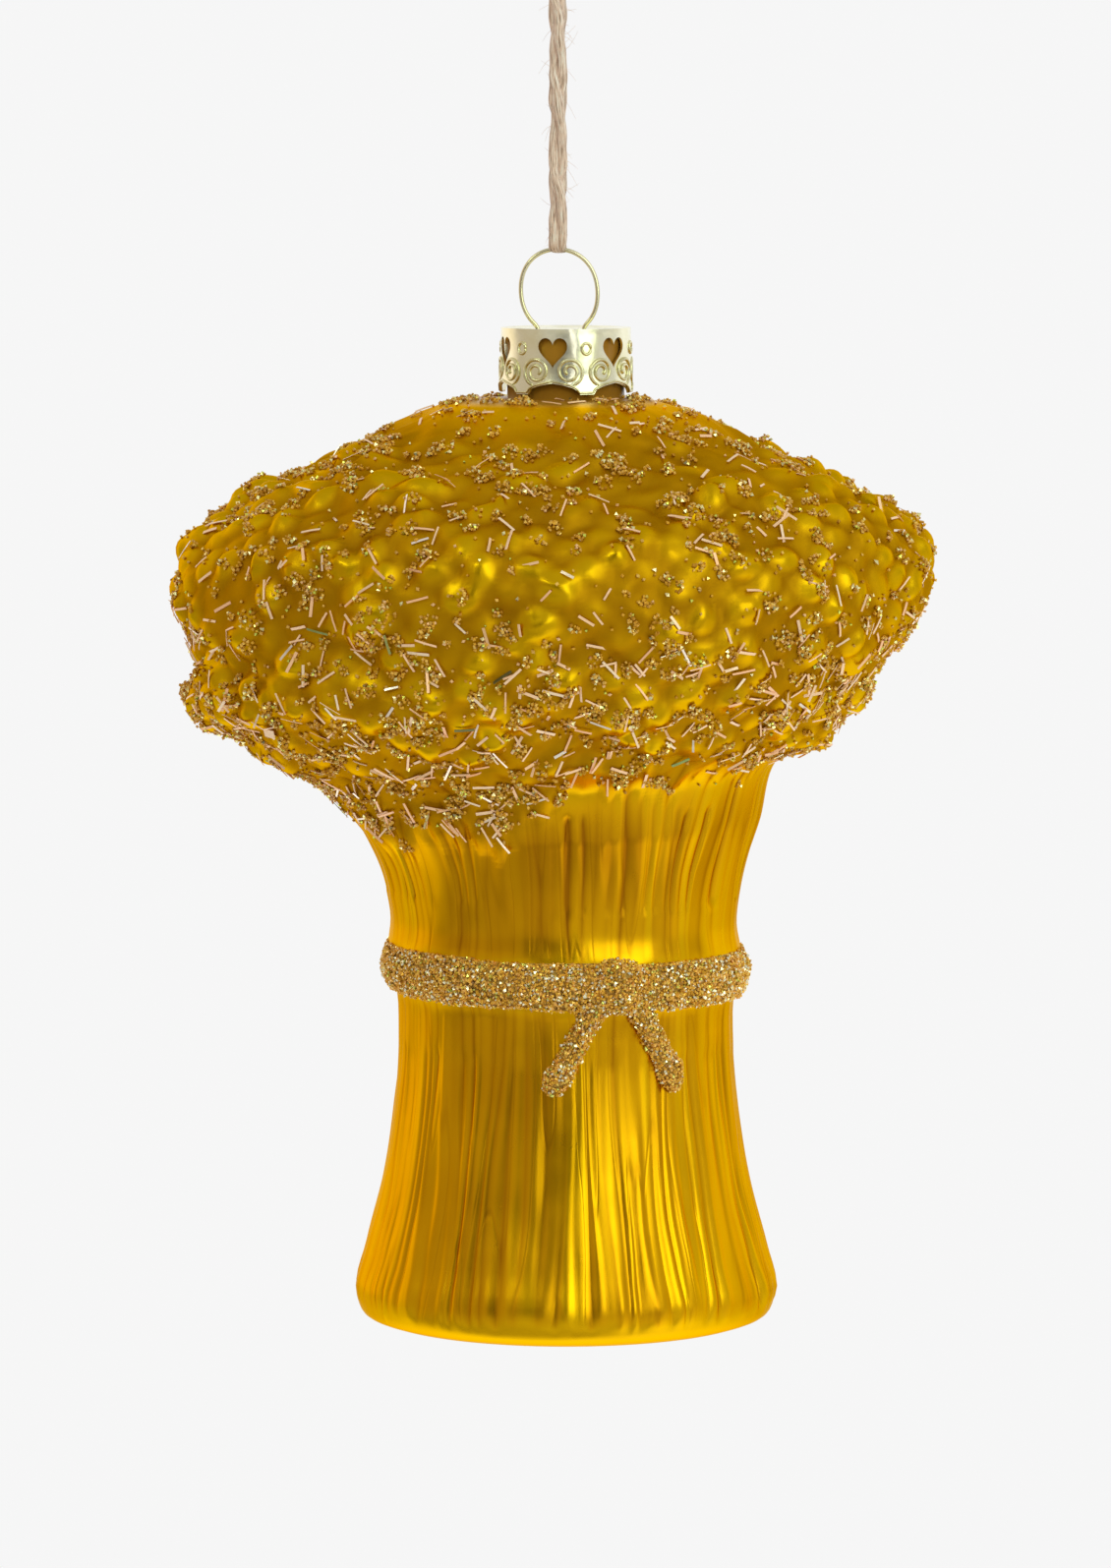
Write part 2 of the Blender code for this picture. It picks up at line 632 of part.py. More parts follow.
def main():
    clear_scene()
    make_sheaf(material("golden lacquered glass", (0.72, 0.42, 0.02), 0.7, 0.35))
    make_cap(material("pale gold tin", (0.80, 0.76, 0.58), 1.0, 0.25))
    make_ring(material("pale gold wire", (0.70, 0.62, 0.42), 1.0, 0.3))
    jute = material("jute", (0.62, 0.50, 0.38), 0.0, 0.9)
    make_twine(jute)
    make_twine_knot(jute)


main()
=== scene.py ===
# %% [markdown]
# # A blown-glass bundle of wheat on jute twine
#
# This ornament is glass blown into a mould: stems, a tie round the waist and a head full of
# kernels are all one thin wall, silvered and then lacquered golden yellow. The head and the
# tie were brushed with glue and rolled in glitter. A tin cap, a wire ring and a loop of jute
# twine hang it up. The solids of the model already hold the true sizes. This lesson dresses
# them: it loads them as a frame, and builds every visible surface over them.

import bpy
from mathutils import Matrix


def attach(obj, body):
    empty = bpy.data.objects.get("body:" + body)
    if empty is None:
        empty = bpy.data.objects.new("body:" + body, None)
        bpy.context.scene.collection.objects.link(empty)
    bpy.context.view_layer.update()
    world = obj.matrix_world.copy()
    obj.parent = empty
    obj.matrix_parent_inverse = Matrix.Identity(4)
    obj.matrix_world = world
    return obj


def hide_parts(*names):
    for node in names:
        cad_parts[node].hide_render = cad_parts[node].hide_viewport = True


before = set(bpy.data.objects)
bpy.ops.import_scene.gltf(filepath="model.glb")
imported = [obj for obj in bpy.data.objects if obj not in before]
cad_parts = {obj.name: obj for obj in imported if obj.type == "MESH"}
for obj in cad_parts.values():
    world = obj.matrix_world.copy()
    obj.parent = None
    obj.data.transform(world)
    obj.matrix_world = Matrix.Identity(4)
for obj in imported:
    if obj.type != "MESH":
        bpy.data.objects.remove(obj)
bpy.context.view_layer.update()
print("solids:", sorted(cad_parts))

# %% The modules that the lesson uses
import math

import bmesh
import bpy
import numpy as np
from mathutils import Vector, noise
from mathutils.bvhtree import BVHTree

# %% [markdown]
# ## The camera
#
# A long lens from 0.8 m away, 5.5 degrees above the ornament's middle: the foot's edge and the
# cap's top are then ellipses of the right depth. Setting the camera first lets every later
# step be judged in the frame that counts.

# %% The camera
CAMERA_DISTANCE = 0.80
CAMERA_RISE = math.radians(5.5)
AIM = Vector((-0.00027, 0.0, -0.0889))  # the middle of the picture
METRES_PER_PIXEL = 0.000107  # of the photograph, at the ornament
PICTURE_HEIGHT = 1595
SENSOR_HEIGHT = 24.0

bpy.ops.object.select_all(action="DESELECT")
away = Vector((0.0, -math.cos(CAMERA_RISE), math.sin(CAMERA_RISE)))
bpy.ops.object.camera_add(location=AIM + CAMERA_DISTANCE * away)
camera = bpy.context.object
camera.rotation_euler = (-away).to_track_quat("-Z", "Y").to_euler()
camera.data.sensor_fit = "VERTICAL"
camera.data.sensor_height = SENSOR_HEIGHT
camera.data.lens = SENSOR_HEIGHT * CAMERA_DISTANCE / (PICTURE_HEIGHT * METRES_PER_PIXEL)
bpy.context.scene.camera = camera
bpy.context.scene.view_settings.view_transform = "Standard"
print(f"camera with a {camera.data.lens:.0f} mm lens, {CAMERA_DISTANCE} m away")

# %% [markdown]
# ## Helpers for every piece
#
# A finished piece keeps its object at the origin, with its place in its mesh, rides on the
# part's one body and names the finish it wears. Normals are made to point outwards once, when
# the shape is done.

# %% Helpers for every piece
TWO_PI = 2 * math.pi
rng = np.random.default_rng(20)  # one row of random numbers for the whole lesson


def only(piece):
    """Selects one piece alone and makes it active."""
    bpy.ops.object.select_all(action="DESELECT")
    piece.select_set(True)
    bpy.context.view_layer.objects.active = piece
    return piece


def points_of(piece):
    """The piece's vertices as an array of points."""
    flat = np.empty(3 * len(piece.data.vertices), np.float32)
    piece.data.vertices.foreach_get("co", flat)
    return flat.reshape(-1, 3).astype(float)


def move_points(piece, points):
    """Puts the piece's vertices at an array of points."""
    piece.data.vertices.foreach_set("co", np.asarray(points, np.float32).ravel())
    piece.data.update()


def settle(piece):
    """Puts the piece's place into its mesh and leaves its object at the origin."""
    only(piece)
    bpy.ops.object.transform_apply(location=True, rotation=True, scale=True)


def smooth(piece):
    """Shades a piece smoothly."""
    only(piece)
    bpy.ops.object.shade_smooth()


def outwards(piece):
    """Merges doubles and turns every face outwards."""
    only(piece)
    bpy.ops.object.mode_set(mode="EDIT")
    bpy.ops.mesh.select_all(action="SELECT")
    bpy.ops.mesh.remove_doubles(threshold=1e-7)
    bpy.ops.mesh.normals_make_consistent(inside=False)
    bpy.ops.object.mode_set(mode="OBJECT")


def finish_piece(piece, name, finish, nodes=()):
    """Names a piece, gives it its finish and hangs it on the part's body."""
    piece.name = name
    piece.data.name = name
    piece.data.materials.clear()
    piece.data.materials.append(finish)
    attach(piece, "root")
    if nodes:
        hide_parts(*nodes)
    print(f"{name}: {sum(len(p.vertices) - 2 for p in piece.data.polygons)} triangles")
    return piece


def mesh_piece(name, points, faces):
    """A new object from an array of points and a list or array of faces."""
    data = bpy.data.meshes.new(name)
    faces = faces.tolist() if isinstance(faces, np.ndarray) else faces
    data.from_pydata(np.asarray(points).tolist(), [], faces)
    data.update()
    piece = bpy.data.objects.new(name, data)
    bpy.context.scene.collection.objects.link(piece)
    return piece


def give_values(piece, name, values):
    """Stores one number for each vertex, which a material can read by its name."""
    layer = piece.data.attributes.new(name, "FLOAT", "POINT")
    layer.data.foreach_set("value", np.asarray(values, np.float32))


# %% [markdown]
# ## Helpers for materials
#
# Each finish is built from nodes: a function adds them and says what the shader's inputs get.
# One effect comes back in most finishes, a cloudy unevenness. It is a node group with named
# sockets, so that every material can ask for its own size and range.

# %% Helpers for materials
def set_inputs(tree, node, inputs):
    """Links the named inputs of a node to outputs, or gives them plain values."""
    for key, value in inputs.items():
        if hasattr(value, "is_output"):
            tree.links.new(value, node.inputs[key])
        else:
            node.inputs[key].default_value = value


def adder(tree):
    """A function that adds a node to a tree and gives back one of its outputs."""

    def add(kind, inputs=None, out=0, **settings):
        node = tree.nodes.new("ShaderNode" + kind)
        for key, value in settings.items():
            setattr(node, key, value)
        set_inputs(tree, node, inputs or {})
        return node.outputs[out]

    return add


def material(name, build, *values):
    """A new material. `build` adds its nodes and tells what the shader's inputs get."""
    made = bpy.data.materials.new(name)
    made.use_nodes = True
    tree = made.node_tree
    set_inputs(tree, tree.nodes["Principled BSDF"], build(adder(tree), *values))
    return made


def stored(add, name):
    """The number that the mesh keeps for each vertex under a name."""
    return add("Attribute", out="Fac", attribute_name=name)


def reckon(add, operation, *values, **settings):
    """One step of arithmetic."""
    return add("Math", dict(enumerate(values)), operation=operation, **settings)


def between(add, value, start, end, low, high, shape="SMOOTHSTEP"):
    """Follows a value from `start` to `end` and goes from `low` to `high` meanwhile."""
    inputs = {"Value": value, "From Min": start, "From Max": end, "To Min": low, "To Max": high}
    return add("MapRange", inputs, interpolation_type=shape)


def ramp(add, value, stops, interpolation="LINEAR"):
    """The colour that belongs to a value, from (place, colour) stops."""
    colour = add("ValToRGB", {"Fac": value})
    band = colour.node.color_ramp
    band.interpolation = interpolation
    while len(band.elements) < len(stops):
        band.elements.new(1.0)
    for element, (place, tone) in zip(band.elements, stops):
        element.position = place
        element.color = (*tone, 1.0)
    return colour


def make_clouds():
    """Node group: soft uneven patches from 0 to 1, of a size set in patches per metre."""
    group = bpy.data.node_groups.new("soft clouds", "ShaderNodeTree")
    for name, value in (("Patches per metre", 100.0), ("Low", 0.0), ("High", 1.0)):
        socket = group.interface.new_socket(name, in_out="INPUT", socket_type="NodeSocketFloat")
        socket.default_value = value
    group.interface.new_socket("Value", in_out="OUTPUT", socket_type="NodeSocketFloat")
    asked = group.nodes.new("NodeGroupInput").outputs
    add = adder(group)
    where = {"Vector": add("TexCoord", out="Object"), "Scale": asked["Patches per metre"]}
    patches = add("TexNoise", {**where, "Detail": 3.0})
    spread = between(add, patches, 0.3, 0.7, asked["Low"], asked["High"], "LINEAR")
    set_inputs(group, group.nodes.new("NodeGroupOutput"), {"Value": spread})
    return group


CLOUDS = make_clouds()


def clouds(add, size, low, high):
    """The cloud group placed in a material, with its own size and range."""
    return add("Group", {"Patches per metre": size, "Low": low, "High": high}, node_tree=CLOUDS)


# %% [markdown]
# ## Jute twine
#
# The real twine is two plies of jute fibre twisted round each other. One length goes through
# the ring and comes back up double, to a knot. The route is the one the solid has: down the
# front leg, under the wire, up the back leg. A plain curve with a round bevel would lose the
# twist, so each ply is a tube that winds round the route, with its fibres running along it.

# %% The twine's route
TWINE = 0.0019  # thickness of the pair of plies
TWINE_LEG = (  # one leg from the knot down: its distance from the middle, and its height
    (0.00145, 0.0000),
    (0.00170, -0.0020),
    (0.00215, -0.0050),
    (0.00265, -0.0090),
    (0.00310, -0.0135),
    (0.00345, -0.0180),
    (0.00368, -0.0225),
    (0.00380, -0.0265),
    (0.00365, -0.02955),
    (0.00269, -0.03122),
    (0.00140, -0.03206),
)
TWINE_BOTTOM = -0.03234
ROUTE_POINTS = 240


def distances(points):
    """Distance along the straight runs between points, from the first to each."""
    runs = np.linalg.norm(np.diff(points, axis=0), axis=1)
    return np.concatenate([[0.0], np.cumsum(runs)])


def read_curve(points, at):
    """Points at the distances `at` along a smooth curve through `points`."""
    points = np.asarray(points, float)
    knots = distances(points)
    slopes = np.gradient(points, knots, axis=0)
    span = np.clip(np.searchsorted(knots, at, side="right") - 1, 0, len(knots) - 2)
    step = (knots[span + 1] - knots[span])[:, None]
    t = (np.asarray(at)[:, None] - knots[span][:, None]) / step
    start = (1 + 2 * t) * (1 - t) ** 2 * points[span]
    leave = t * (1 - t) ** 2 * step * slopes[span]
    end = t**2 * (3 - 2 * t) * points[span + 1]
    arrive = t**2 * (t - 1) * step * slopes[span + 1]
    return start + leave + end + arrive


def evenly(points, count):
    """`count` points at equal distances along a smooth curve through `points`."""
    points = np.asarray(points, float)
    return read_curve(points, np.linspace(0.0, distances(points)[-1], count))


front = [(0.0, -out, height) for out, height in TWINE_LEG]
back = [(0.0, out, height) for out, height in reversed(TWINE_LEG)]
route = evenly([*front, (0.0, 0.0, TWINE_BOTTOM), *back], ROUTE_POINTS)
twine_length = float(distances(route)[-1])
print(f"the loop takes {1000 * twine_length:.1f} mm of twine")

# %% [markdown]
# ### The plies and their fuzz
#
# A tube follows a line and keeps, for each of its points, how far round and how far along it
# lies. Two such tubes twist round each other. Loose fibres stand off them, because jute is
# hairy, and each is a bent spike that starts inside a ply.

# %% The plies and their fuzz
def frames_along(path):
    """Directions along a path, and two square to it that turn as little as they can."""
    ahead = np.gradient(path, axis=0)
    ahead /= np.linalg.norm(ahead, axis=1)[:, None]
    side = np.empty_like(path)
    first = np.cross(ahead[0], (0.0, 1.0, 0.3))
    side[0] = first / np.linalg.norm(first)
    for i in range(1, len(path)):
        turned = side[i - 1] - ahead[i] * np.dot(side[i - 1], ahead[i])
        side[i] = turned / np.linalg.norm(turned)
    return ahead, side, np.cross(ahead, side)


def tube_mesh(path, radii, sides):
    """Points and faces of a closed round tube, and for each point the way round and along."""
    ahead, side, up = frames_along(path)
    turn = TWO_PI * np.arange(sides) / sides
    ring = np.cos(turn)[None, :, None] * side[:, None, :]
    ring = ring + np.sin(turn)[None, :, None] * up[:, None, :]
    points = path[:, None, :] + ring * np.asarray(radii)[:, None, None]
    rows = np.arange(len(path) - 1)[:, None] * sides
    here = np.arange(sides)[None, :]
    after = (here + 1) % sides
    quads = [rows + here, rows + after, rows + sides + after, rows + sides + here]
    quads = np.stack(quads, axis=-1).reshape(-1, 4).tolist()
    tips = [path[0] - ahead[0] * radii[0] * 0.5, path[-1] + ahead[-1] * radii[-1] * 0.5]
    points = np.vstack([points.reshape(-1, 3), tips])
    start, end, last = len(points) - 2, len(points) - 1, (len(path) - 1) * sides
    fans = [(start, (k + 1) % sides, k) for k in range(sides)]
    fans += [(end, last + k, last + (k + 1) % sides) for k in range(sides)]
    along = np.repeat(distances(path), sides)
    around = np.tile(turn / TWO_PI, len(path))
    values = np.stack([np.append(around, (0, 0)), np.append(along, (0.0, along[-1]))], axis=1)
    return points, quads + fans, values


def joined(parts):
    """One set of points, faces and values from several of them."""
    points, faces, values = [], [], []
    base = 0
    for part_points, part_faces, part_values in parts:
        points.append(part_points)
        faces += [tuple(base + k for k in face) for face in part_faces]
        values.append(part_values)
        base += len(part_points)
    return np.vstack(points), faces, np.vstack(values)


PLY_PITCH = 0.0175  # length of twine in which a ply winds once round the other
PLY_RADIUS = 0.285 * TWINE
PLY_OFFSET = 0.245 * TWINE
PLY_SIDES = 12
PLY_SHIFT = 0.37  # keeps the fibres of the second ply from looking like the first one's


def plies(path, phase):
    """The two plies of a stretch of twine, as one set of points, faces and values."""
    at = distances(path)
    _, side, up = frames_along(path)
    made = []
    for k in (0, 1):
        wander = 0.25 * np.sin(at * 610.0 + 1.3) + 0.2 * np.sin(at * 1270.0 + 4.0 * k)
        turn = phase + math.pi * k - TWO_PI * at / PLY_PITCH + wander
        offset = np.cos(turn)[:, None] * side + np.sin(turn)[:, None] * up
        swell = 1.0 + 0.06 * np.sin(at * 900.0 + 2.0 * k) + 0.05 * np.sin(at * 2100.0 + k)
        points, faces, values = tube_mesh(path + offset * PLY_OFFSET, PLY_RADIUS * swell, PLY_SIDES)
        made.append((points, faces, values + (PLY_SHIFT * k, 0.0)))
    return joined(made)


HAIR_REACH = 0.0011
HAIR_RADII = np.array((0.000022, 0.00002, 0.000016, 0.00001))


def fuzz(path, count, seed):
    """Loose fibres that stand off a stretch of twine, each a thin bent three-sided spike."""
    pick = np.random.default_rng(seed)
    ahead, side, up = frames_along(path)
    made = []
    for _ in range(count):
        i = int(pick.integers(3, len(path) - 3))
        turn = pick.uniform(0, TWO_PI)
        out = math.cos(turn) * side[i] + math.sin(turn) * up[i]
        lean = ahead[i] * pick.choice((-1, 1)) * pick.uniform(0.4, 2.4) + pick.normal(0, 0.35, 3)
        size = HAIR_REACH * pick.uniform(0.4, 1.3)
        root = path[i] + out * TWINE * 0.40
        bends = [size * (out * step + lean * step**1.5 * 0.7) for step in (0.35, 0.7, 1.0)]
        line = np.array([root, *(root + bend for bend in bends)])
        points, faces, _ = tube_mesh(line, HAIR_RADII, 3)
        made.append((points, faces, np.full((len(points), 2), 0.5)))
    return joined(made)


# %% [markdown]
# ### The jute's finish
#
# Jute is dull, pale brown with a touch of pink, and streaked along its fibres. The streaks
# follow each ply, so they read two numbers stored on the mesh: the way round the ply and the
# distance along it. Noise that is stretched along the second one makes the fibres.

# %% The jute's finish
FIBRES = (26.0, 420.0, 1.0)  # streaks round the ply, and their breaks per metre along it


def jute_nodes(add):
    spread = add("CombineXYZ", {"X": stored(add, "around"), "Y": stored(add, "along")})
    size = add("VectorMath", {0: spread, 1: FIBRES}, operation="MULTIPLY")
    fibres = add("TexNoise", {"Vector": size, "Scale": 1.0, "Detail": 4.0, "Roughness": 0.65})
    return {
        "Base Color": ramp(add, fibres, [
            (0.34, (0.170, 0.095, 0.060)),
            (0.43, (0.600, 0.420, 0.320)),
            (0.53, (0.930, 0.705, 0.575)),
            (0.62, (0.960, 0.900, 0.810)),
        ]),
        "Normal": add("Bump", {"Height": fibres, "Strength": 0.7, "Distance": 0.0002}),
        "Roughness": clouds(add, 900.0, 0.75, 0.95),
        "Sheen Weight": 0.25,
        "Sheen Roughness": 0.5,
    }


JUTE = material("jute", jute_nodes)


def twine_piece(name, parts):
    """A smooth object from sets of points, faces and values."""
    points, faces, values = joined(parts)
    piece = mesh_piece(name, points, faces)
    give_values(piece, "around", values[:, 0])
    give_values(piece, "along", values[:, 1])
    smooth(piece)
    return piece


# %% [markdown]
# ### The loop of twine
#
# Under the wire the load presses the soft plies flat: below PRESS_FROM every point is drawn
# up, the lower it lies the more, so that the bend stays wide but ends close under the wire.

# %% The loop of twine
PRESS_FROM = -0.0300
PRESS_DEPTH = 0.00135

loop = twine_piece("jute_loop", [plies(route, 0.9), fuzz(route, count=80, seed=5)])
soft = points_of(loop)
under = np.clip(PRESS_FROM - soft[:, 2], 0.0, None)
soft[:, 2] += under - PRESS_DEPTH * (1 - np.exp(-under / PRESS_DEPTH))
move_points(loop, soft)
finish_piece(loop, "jute_loop", JUTE, nodes=["twine"])

# %% [markdown]
# ### The knot of the loop
#
# Just above the picture's edge the two legs are tied together. One leg runs straight up
# through the knot, and the other winds round it, tucks in and comes out at the top. Winding
# one tube round another gives the look of a tight knot at any size.

# %% The knot of the loop
KNOT_CORE = 0.00212  # radius at which the winding leg's centre line runs
KNOT_TURNS = 2.15
KNOT_BOTTOM = 0.00145
KNOT_LENGTH = 0.0038


def knot_paths():
    """Centre lines of the straight leg and of the winding leg."""
    straight = evenly([
        (0.0, -0.00140, 0.0004),
        (-0.0001, -0.0006, 0.0018),
        (-0.0002, 0.0000, 0.0036),
        (-0.0006, 0.0001, 0.0055),
        (-0.0013, 0.0002, 0.0075),
        (-0.0026, 0.0001, 0.0098),
        (-0.0039, -0.0002, 0.0118),
    ], 70)
    winding = [(0.0, 0.00140, 0.0004), (0.0, 0.00185, 0.0011)]
    for share in np.linspace(0.0, 1.0, 34):
        turn = math.pi / 2 - TWO_PI * KNOT_TURNS * share
        reach = KNOT_CORE * (1.0 - 0.10 * share)
        height = KNOT_BOTTOM + KNOT_LENGTH * share
        winding.append((reach * math.cos(turn), reach * math.sin(turn), height))
    winding += [
        (0.00150, 0.0003, 0.0066),
        (0.0022, 0.0001, 0.0084),
        (0.0030, 0.0, 0.0102),
        (0.0040, 0.0002, 0.0120),
    ]
    return straight, evenly(winding, 220)


straight_leg, winding_leg = knot_paths()
knot = twine_piece("jute_knot", [
    plies(straight_leg, 0.4),
    plies(winding_leg, 2.0),
    fuzz(straight_leg[40:], count=26, seed=6),
    fuzz(winding_leg, count=70, seed=7),
])
finish_piece(knot, "jute_knot", JUTE, nodes=["twine_knot"])

# %% [markdown]
# ## The glass sheaf
#
# The glass is one skin from the foot to the neck. It is described by its outline, which is a
# little different on the left and on the right, and by a relief on that outline: reeds with
# grooves below, a band round the waist, kernels above. A grid is added at the right count of
# faces and wrapped round the outline, because no primitive comes near this form, and every
# one of its vertices gets its place from the same few rules as the solid below it.

# %% The sheaf's outline
SHEAF_HEIGHT = 0.1005
FOOT_RADIUS = 0.0229
FOOT_EDGE = 0.0025  # radius of the rounded edge of the foot
WAIST_RADIUS = 0.01825
HEAD_RADIUS = 0.0410
HEAD_DEPTH = 0.86  # the head from front to back, as a share of its width
FLARE_DEPTHS = (1.0, 0.93, 0.84, 0.83)  # the same at the first stations of the head
SHEAF_OFFSET = 0.00085  # the sheaf's axis stands this far to the right of the twine
NECK_RADIUS = 0.00635
CAP_TOP = 0.1081  # above the foot, as all heights of the sheaf
FOOT_Z = -0.14734
STEM_OUTLINE = (  # height, and how far out of the waist on the left and on the right
    (0.079, 0.774, 0.774),
    (0.143, 0.420, 0.420),
    (0.225, 0.140, 0.140),
    (0.299, 0.000, 0.000),
    (0.434, 0.150, 0.075),
    (0.488, 0.400, 0.225),
)
HEAD_OUTLINE = (  # height and radius on the left, then on the right, as shares of the sheaf's
    (0.530, 0.540, 0.547, 0.510),
    (0.577, 0.624, 0.607, 0.556),
    (0.617, 0.780, 0.640, 0.688),
    (0.655, 0.938, 0.676, 0.764),
    (0.683, 0.994, 0.710, 0.824),
    (0.719, 0.974, 0.748, 0.900),
    (0.776, 1.010, 0.798, 0.944),
    (0.836, 0.982, 0.846, 0.930),
    (0.881, 0.866, 0.886, 0.816),
    (0.915, 0.704, 0.915, 0.680),
    (0.951, 0.530, 0.951, 0.492),
    (0.982, 0.385, 0.982, 0.342),
    (0.997, 0.290, 0.997, 0.230),
)
FOOT_STEPS = 2
FIRST_HEAD = FOOT_STEPS + 1 + len(STEM_OUTLINE)


def outline():
    """Height and radius on the left, then on the right, at each station of the outline."""
    rows = []
    for step in range(FOOT_STEPS + 1):
        turn = math.pi / 2 * step / FOOT_STEPS
        height = FOOT_EDGE * (1 - math.cos(turn))
        radius = FOOT_RADIUS - FOOT_EDGE * (1 - math.sin(turn))
        rows.append((height, radius, height, radius))
    for share, *outs in STEM_OUTLINE:
        height = share * SHEAF_HEIGHT
        left, right = (WAIST_RADIUS + out * (FOOT_RADIUS - WAIST_RADIUS) for out in outs)
        rows.append((height, left, height, right))
    scale = (SHEAF_HEIGHT, HEAD_RADIUS, SHEAF_HEIGHT, HEAD_RADIUS)
    rows += [tuple(np.multiply(station, scale)) for station in HEAD_OUTLINE]
    rows.append((SHEAF_HEIGHT, NECK_RADIUS, SHEAF_HEIGHT, NECK_RADIUS))
    return np.array(rows)


OUTLINE = outline()
STATIONS = distances(OUTLINE)
HEAD_START, KERNEL_START, KERNEL_END = STATIONS[[FIRST_HEAD, FIRST_HEAD + 1, -4]]
print(f"from the foot's edge to the neck the outline is {1000 * STATIONS[-1]:.0f} mm long")


def skin(azimuth, along, rise):
    """Points of the sheaf's skin, raised by `rise` square to its outline."""
    left = (1 - np.sin(azimuth)) / 2
    here = read_curve(OUTLINE, along)
    step = read_curve(OUTLINE, along + 1e-5) - here
    height, radius = (here[:, k + 2] + (here[:, k] - here[:, k + 2]) * left for k in (0, 1))
    up, out = (step[:, k + 2] + (step[:, k] - step[:, k + 2]) * left for k in (0, 1))
    length = np.hypot(up, out)
    radius = radius + rise * up / length
    height = height - rise * out / length
    turns = STATIONS[[*range(FIRST_HEAD, FIRST_HEAD + 5), -4, -2]]
    depth = np.interp(along, turns, (*FLARE_DEPTHS, HEAD_DEPTH, HEAD_DEPTH, 1.0))
    x = SHEAF_OFFSET + radius * np.sin(azimuth)
    y = -radius * np.cos(azimuth) * depth
    return np.stack([x, y, height + FOOT_Z], axis=1)


def along_at(height):
    """Distance along the outline at a height on the stems."""
    at = np.linspace(0.0, STATIONS[FIRST_HEAD], 400)
    return np.interp(height, read_curve(OUTLINE, at)[:, 0], at)


def height_at(along):
    """Height above the foot of a place on the outline, between its left and right sides."""
    return read_curve(OUTLINE, along)[:, [0, 2]].mean(axis=1)


# %% [markdown]
# ### Chance that comes back the same
#
# The glass needs unevenness that depends on the place alone, so that a groove looks the same
# from both of its sides. Three small functions give it: a number for a pair of numbers, one
# that drifts along a line, and one that swells over a surface.

# %% Chance that comes back the same
def uneven(first, second):
    """A share from 0 to 1 that looks random, the same for the same two numbers."""
    return np.modf(np.abs(np.sin(first * 12.9898 + second * 78.233) * 43758.5453))[0]


def drift(first, at, step):
    """A smooth random number from 0 to 1: it changes along `at` over lengths of `step`."""
    place = at / step
    low = np.floor(place)
    blend = place - low
    blend = blend * blend * (3 - 2 * blend)
    return uneven(first, low) * (1 - blend) + uneven(first, low + 1.0) * blend


def swelling(points, size):
    """A smooth random number from -1 to 1 for each point, in patches of a size in metres."""
    return np.array([noise.noise(Vector(point)) for point in (points / size + 4.3).tolist()])


def turned(azimuth):
    """The same azimuth, between half a turn to the left and half a turn to the right."""
    return (azimuth + math.pi) % TWO_PI - math.pi


# %% [markdown]
# ### Reeds
#
# A reed is a nearly flat strip of moulded straw. It leans a little and stands a little higher
# or lower than the next, so that each catches the light by itself. The grooves between reeds
# wander sideways, and they come and go along their length. Groups of reeds swell together.
# Above the tie the grooves are fewer and deeper, and end under the glue. Lacquer has run
# together in them, and their darker tone is also painted shade. Some reeds are stained brown at
# random, and painted shade darkens the left side and the flare under the head. Azimuths count
# from the front, rightwards.

# %% Reeds
REED_COUNT = 88
REED_GROOVE = 0.00030
REED_LEAN = 0.00034
REED_LEVEL = 0.00020
REED_WANDER = 0.020  # how far a groove strays sideways, in radians
REED_GROUPS = 0.00034  # slow rise and fall over groups of reeds
SOFT_REEDS = 0.00017  # and over parts of a reed
REED_END = 0.0021  # height above the foot at which the grooves run out
GROOVE_WIDE, GROOVE_NARROW = 0.31, 0.16  # of the form, and of its darker tone, lacquer run together and painted shade; shares of a reed
TOP_GROOVES = (0.041, 0.053)  # the deep ones: they start at one height and are full at another
FAINT_SIDE = math.radians(-65.0)  # azimuth at which the mould gave the faintest reeds
SHADED_SIDE = math.radians(-40.0)  # azimuth of the painted shade on the left side
FLARE_START = (0.040, 0.048)  # heights between which the stems give way to the flare
SEAMS = (math.radians(-61.0), math.radians(119.0))  # where the mould's two halves met
SEAM_RISE = 0.00014
SEAM_TURN = math.radians(0.9)


def reed_place(even):
    """Number of the reed at an azimuth, and the place across it, from -0.5 to 0.5."""
    phase = even * REED_COUNT / TWO_PI + 0.5
    reed = np.floor(phase + 0.5)
    return reed, phase - reed


def stem_azimuth(even, along):
    """Azimuth of a column of the grid: the reeds are unevenly spaced and slightly wavy."""
    share = height_at(along) / SHEAF_HEIGHT
    spacing = 0.030 * np.sin(5 * even + 0.7) + 0.020 * np.sin(11 * even + 2.1)
    wave = 0.014 * np.sin(7 * even + 11 * share) + 0.010 * np.sin(13 * even - 17 * share)
    reed, place = reed_place(even)
    before, after = (2 * drift((reed - k) % REED_COUNT + 500.0, along, 0.026) - 1 for k in (1, 0))
    wander = REED_WANDER * (before * (0.5 - place) + after * (0.5 + place))
    return even + (spacing + wave + wander) * np.interp(share, (0.50, 0.58), (1.0, 0.0))


def reed_face(reed, place, along):
    """Height of one reed's own face at a place across it, from -0.5 to 0.5."""
    key = reed % REED_COUNT
    level = REED_LEVEL * (drift(key + 90.0, along, 0.045) - 0.5)
    near_foot = np.interp(height_at(along), (0.003, 0.018), (2.8, 1.0))
    lean = 2 * REED_LEAN * near_foot * (drift(key + 200.0, along, 0.024) - 0.5)
    return level + lean * place


def reed_grooves(reed, place, along, height):
    """How deep the groove beside each point is, and how far up it goes on."""
    groove = np.where(place < 0, reed - 1, reed) % REED_COUNT
    depth = 0.04 + 1.10 * drift(groove, along, 0.040) ** 1.8
    deep = np.clip((uneven(groove, 9.0) - 0.62) / 0.10, 0.0, 1.0)
    depth += 1.3 * deep * np.interp(height, TOP_GROOVES, (0.0, 1.0))
    top = 0.0565 + 0.0065 * uneven(groove, 7.0)
    return depth, np.clip((top - height) / 0.0010, 0.0, 1.0)


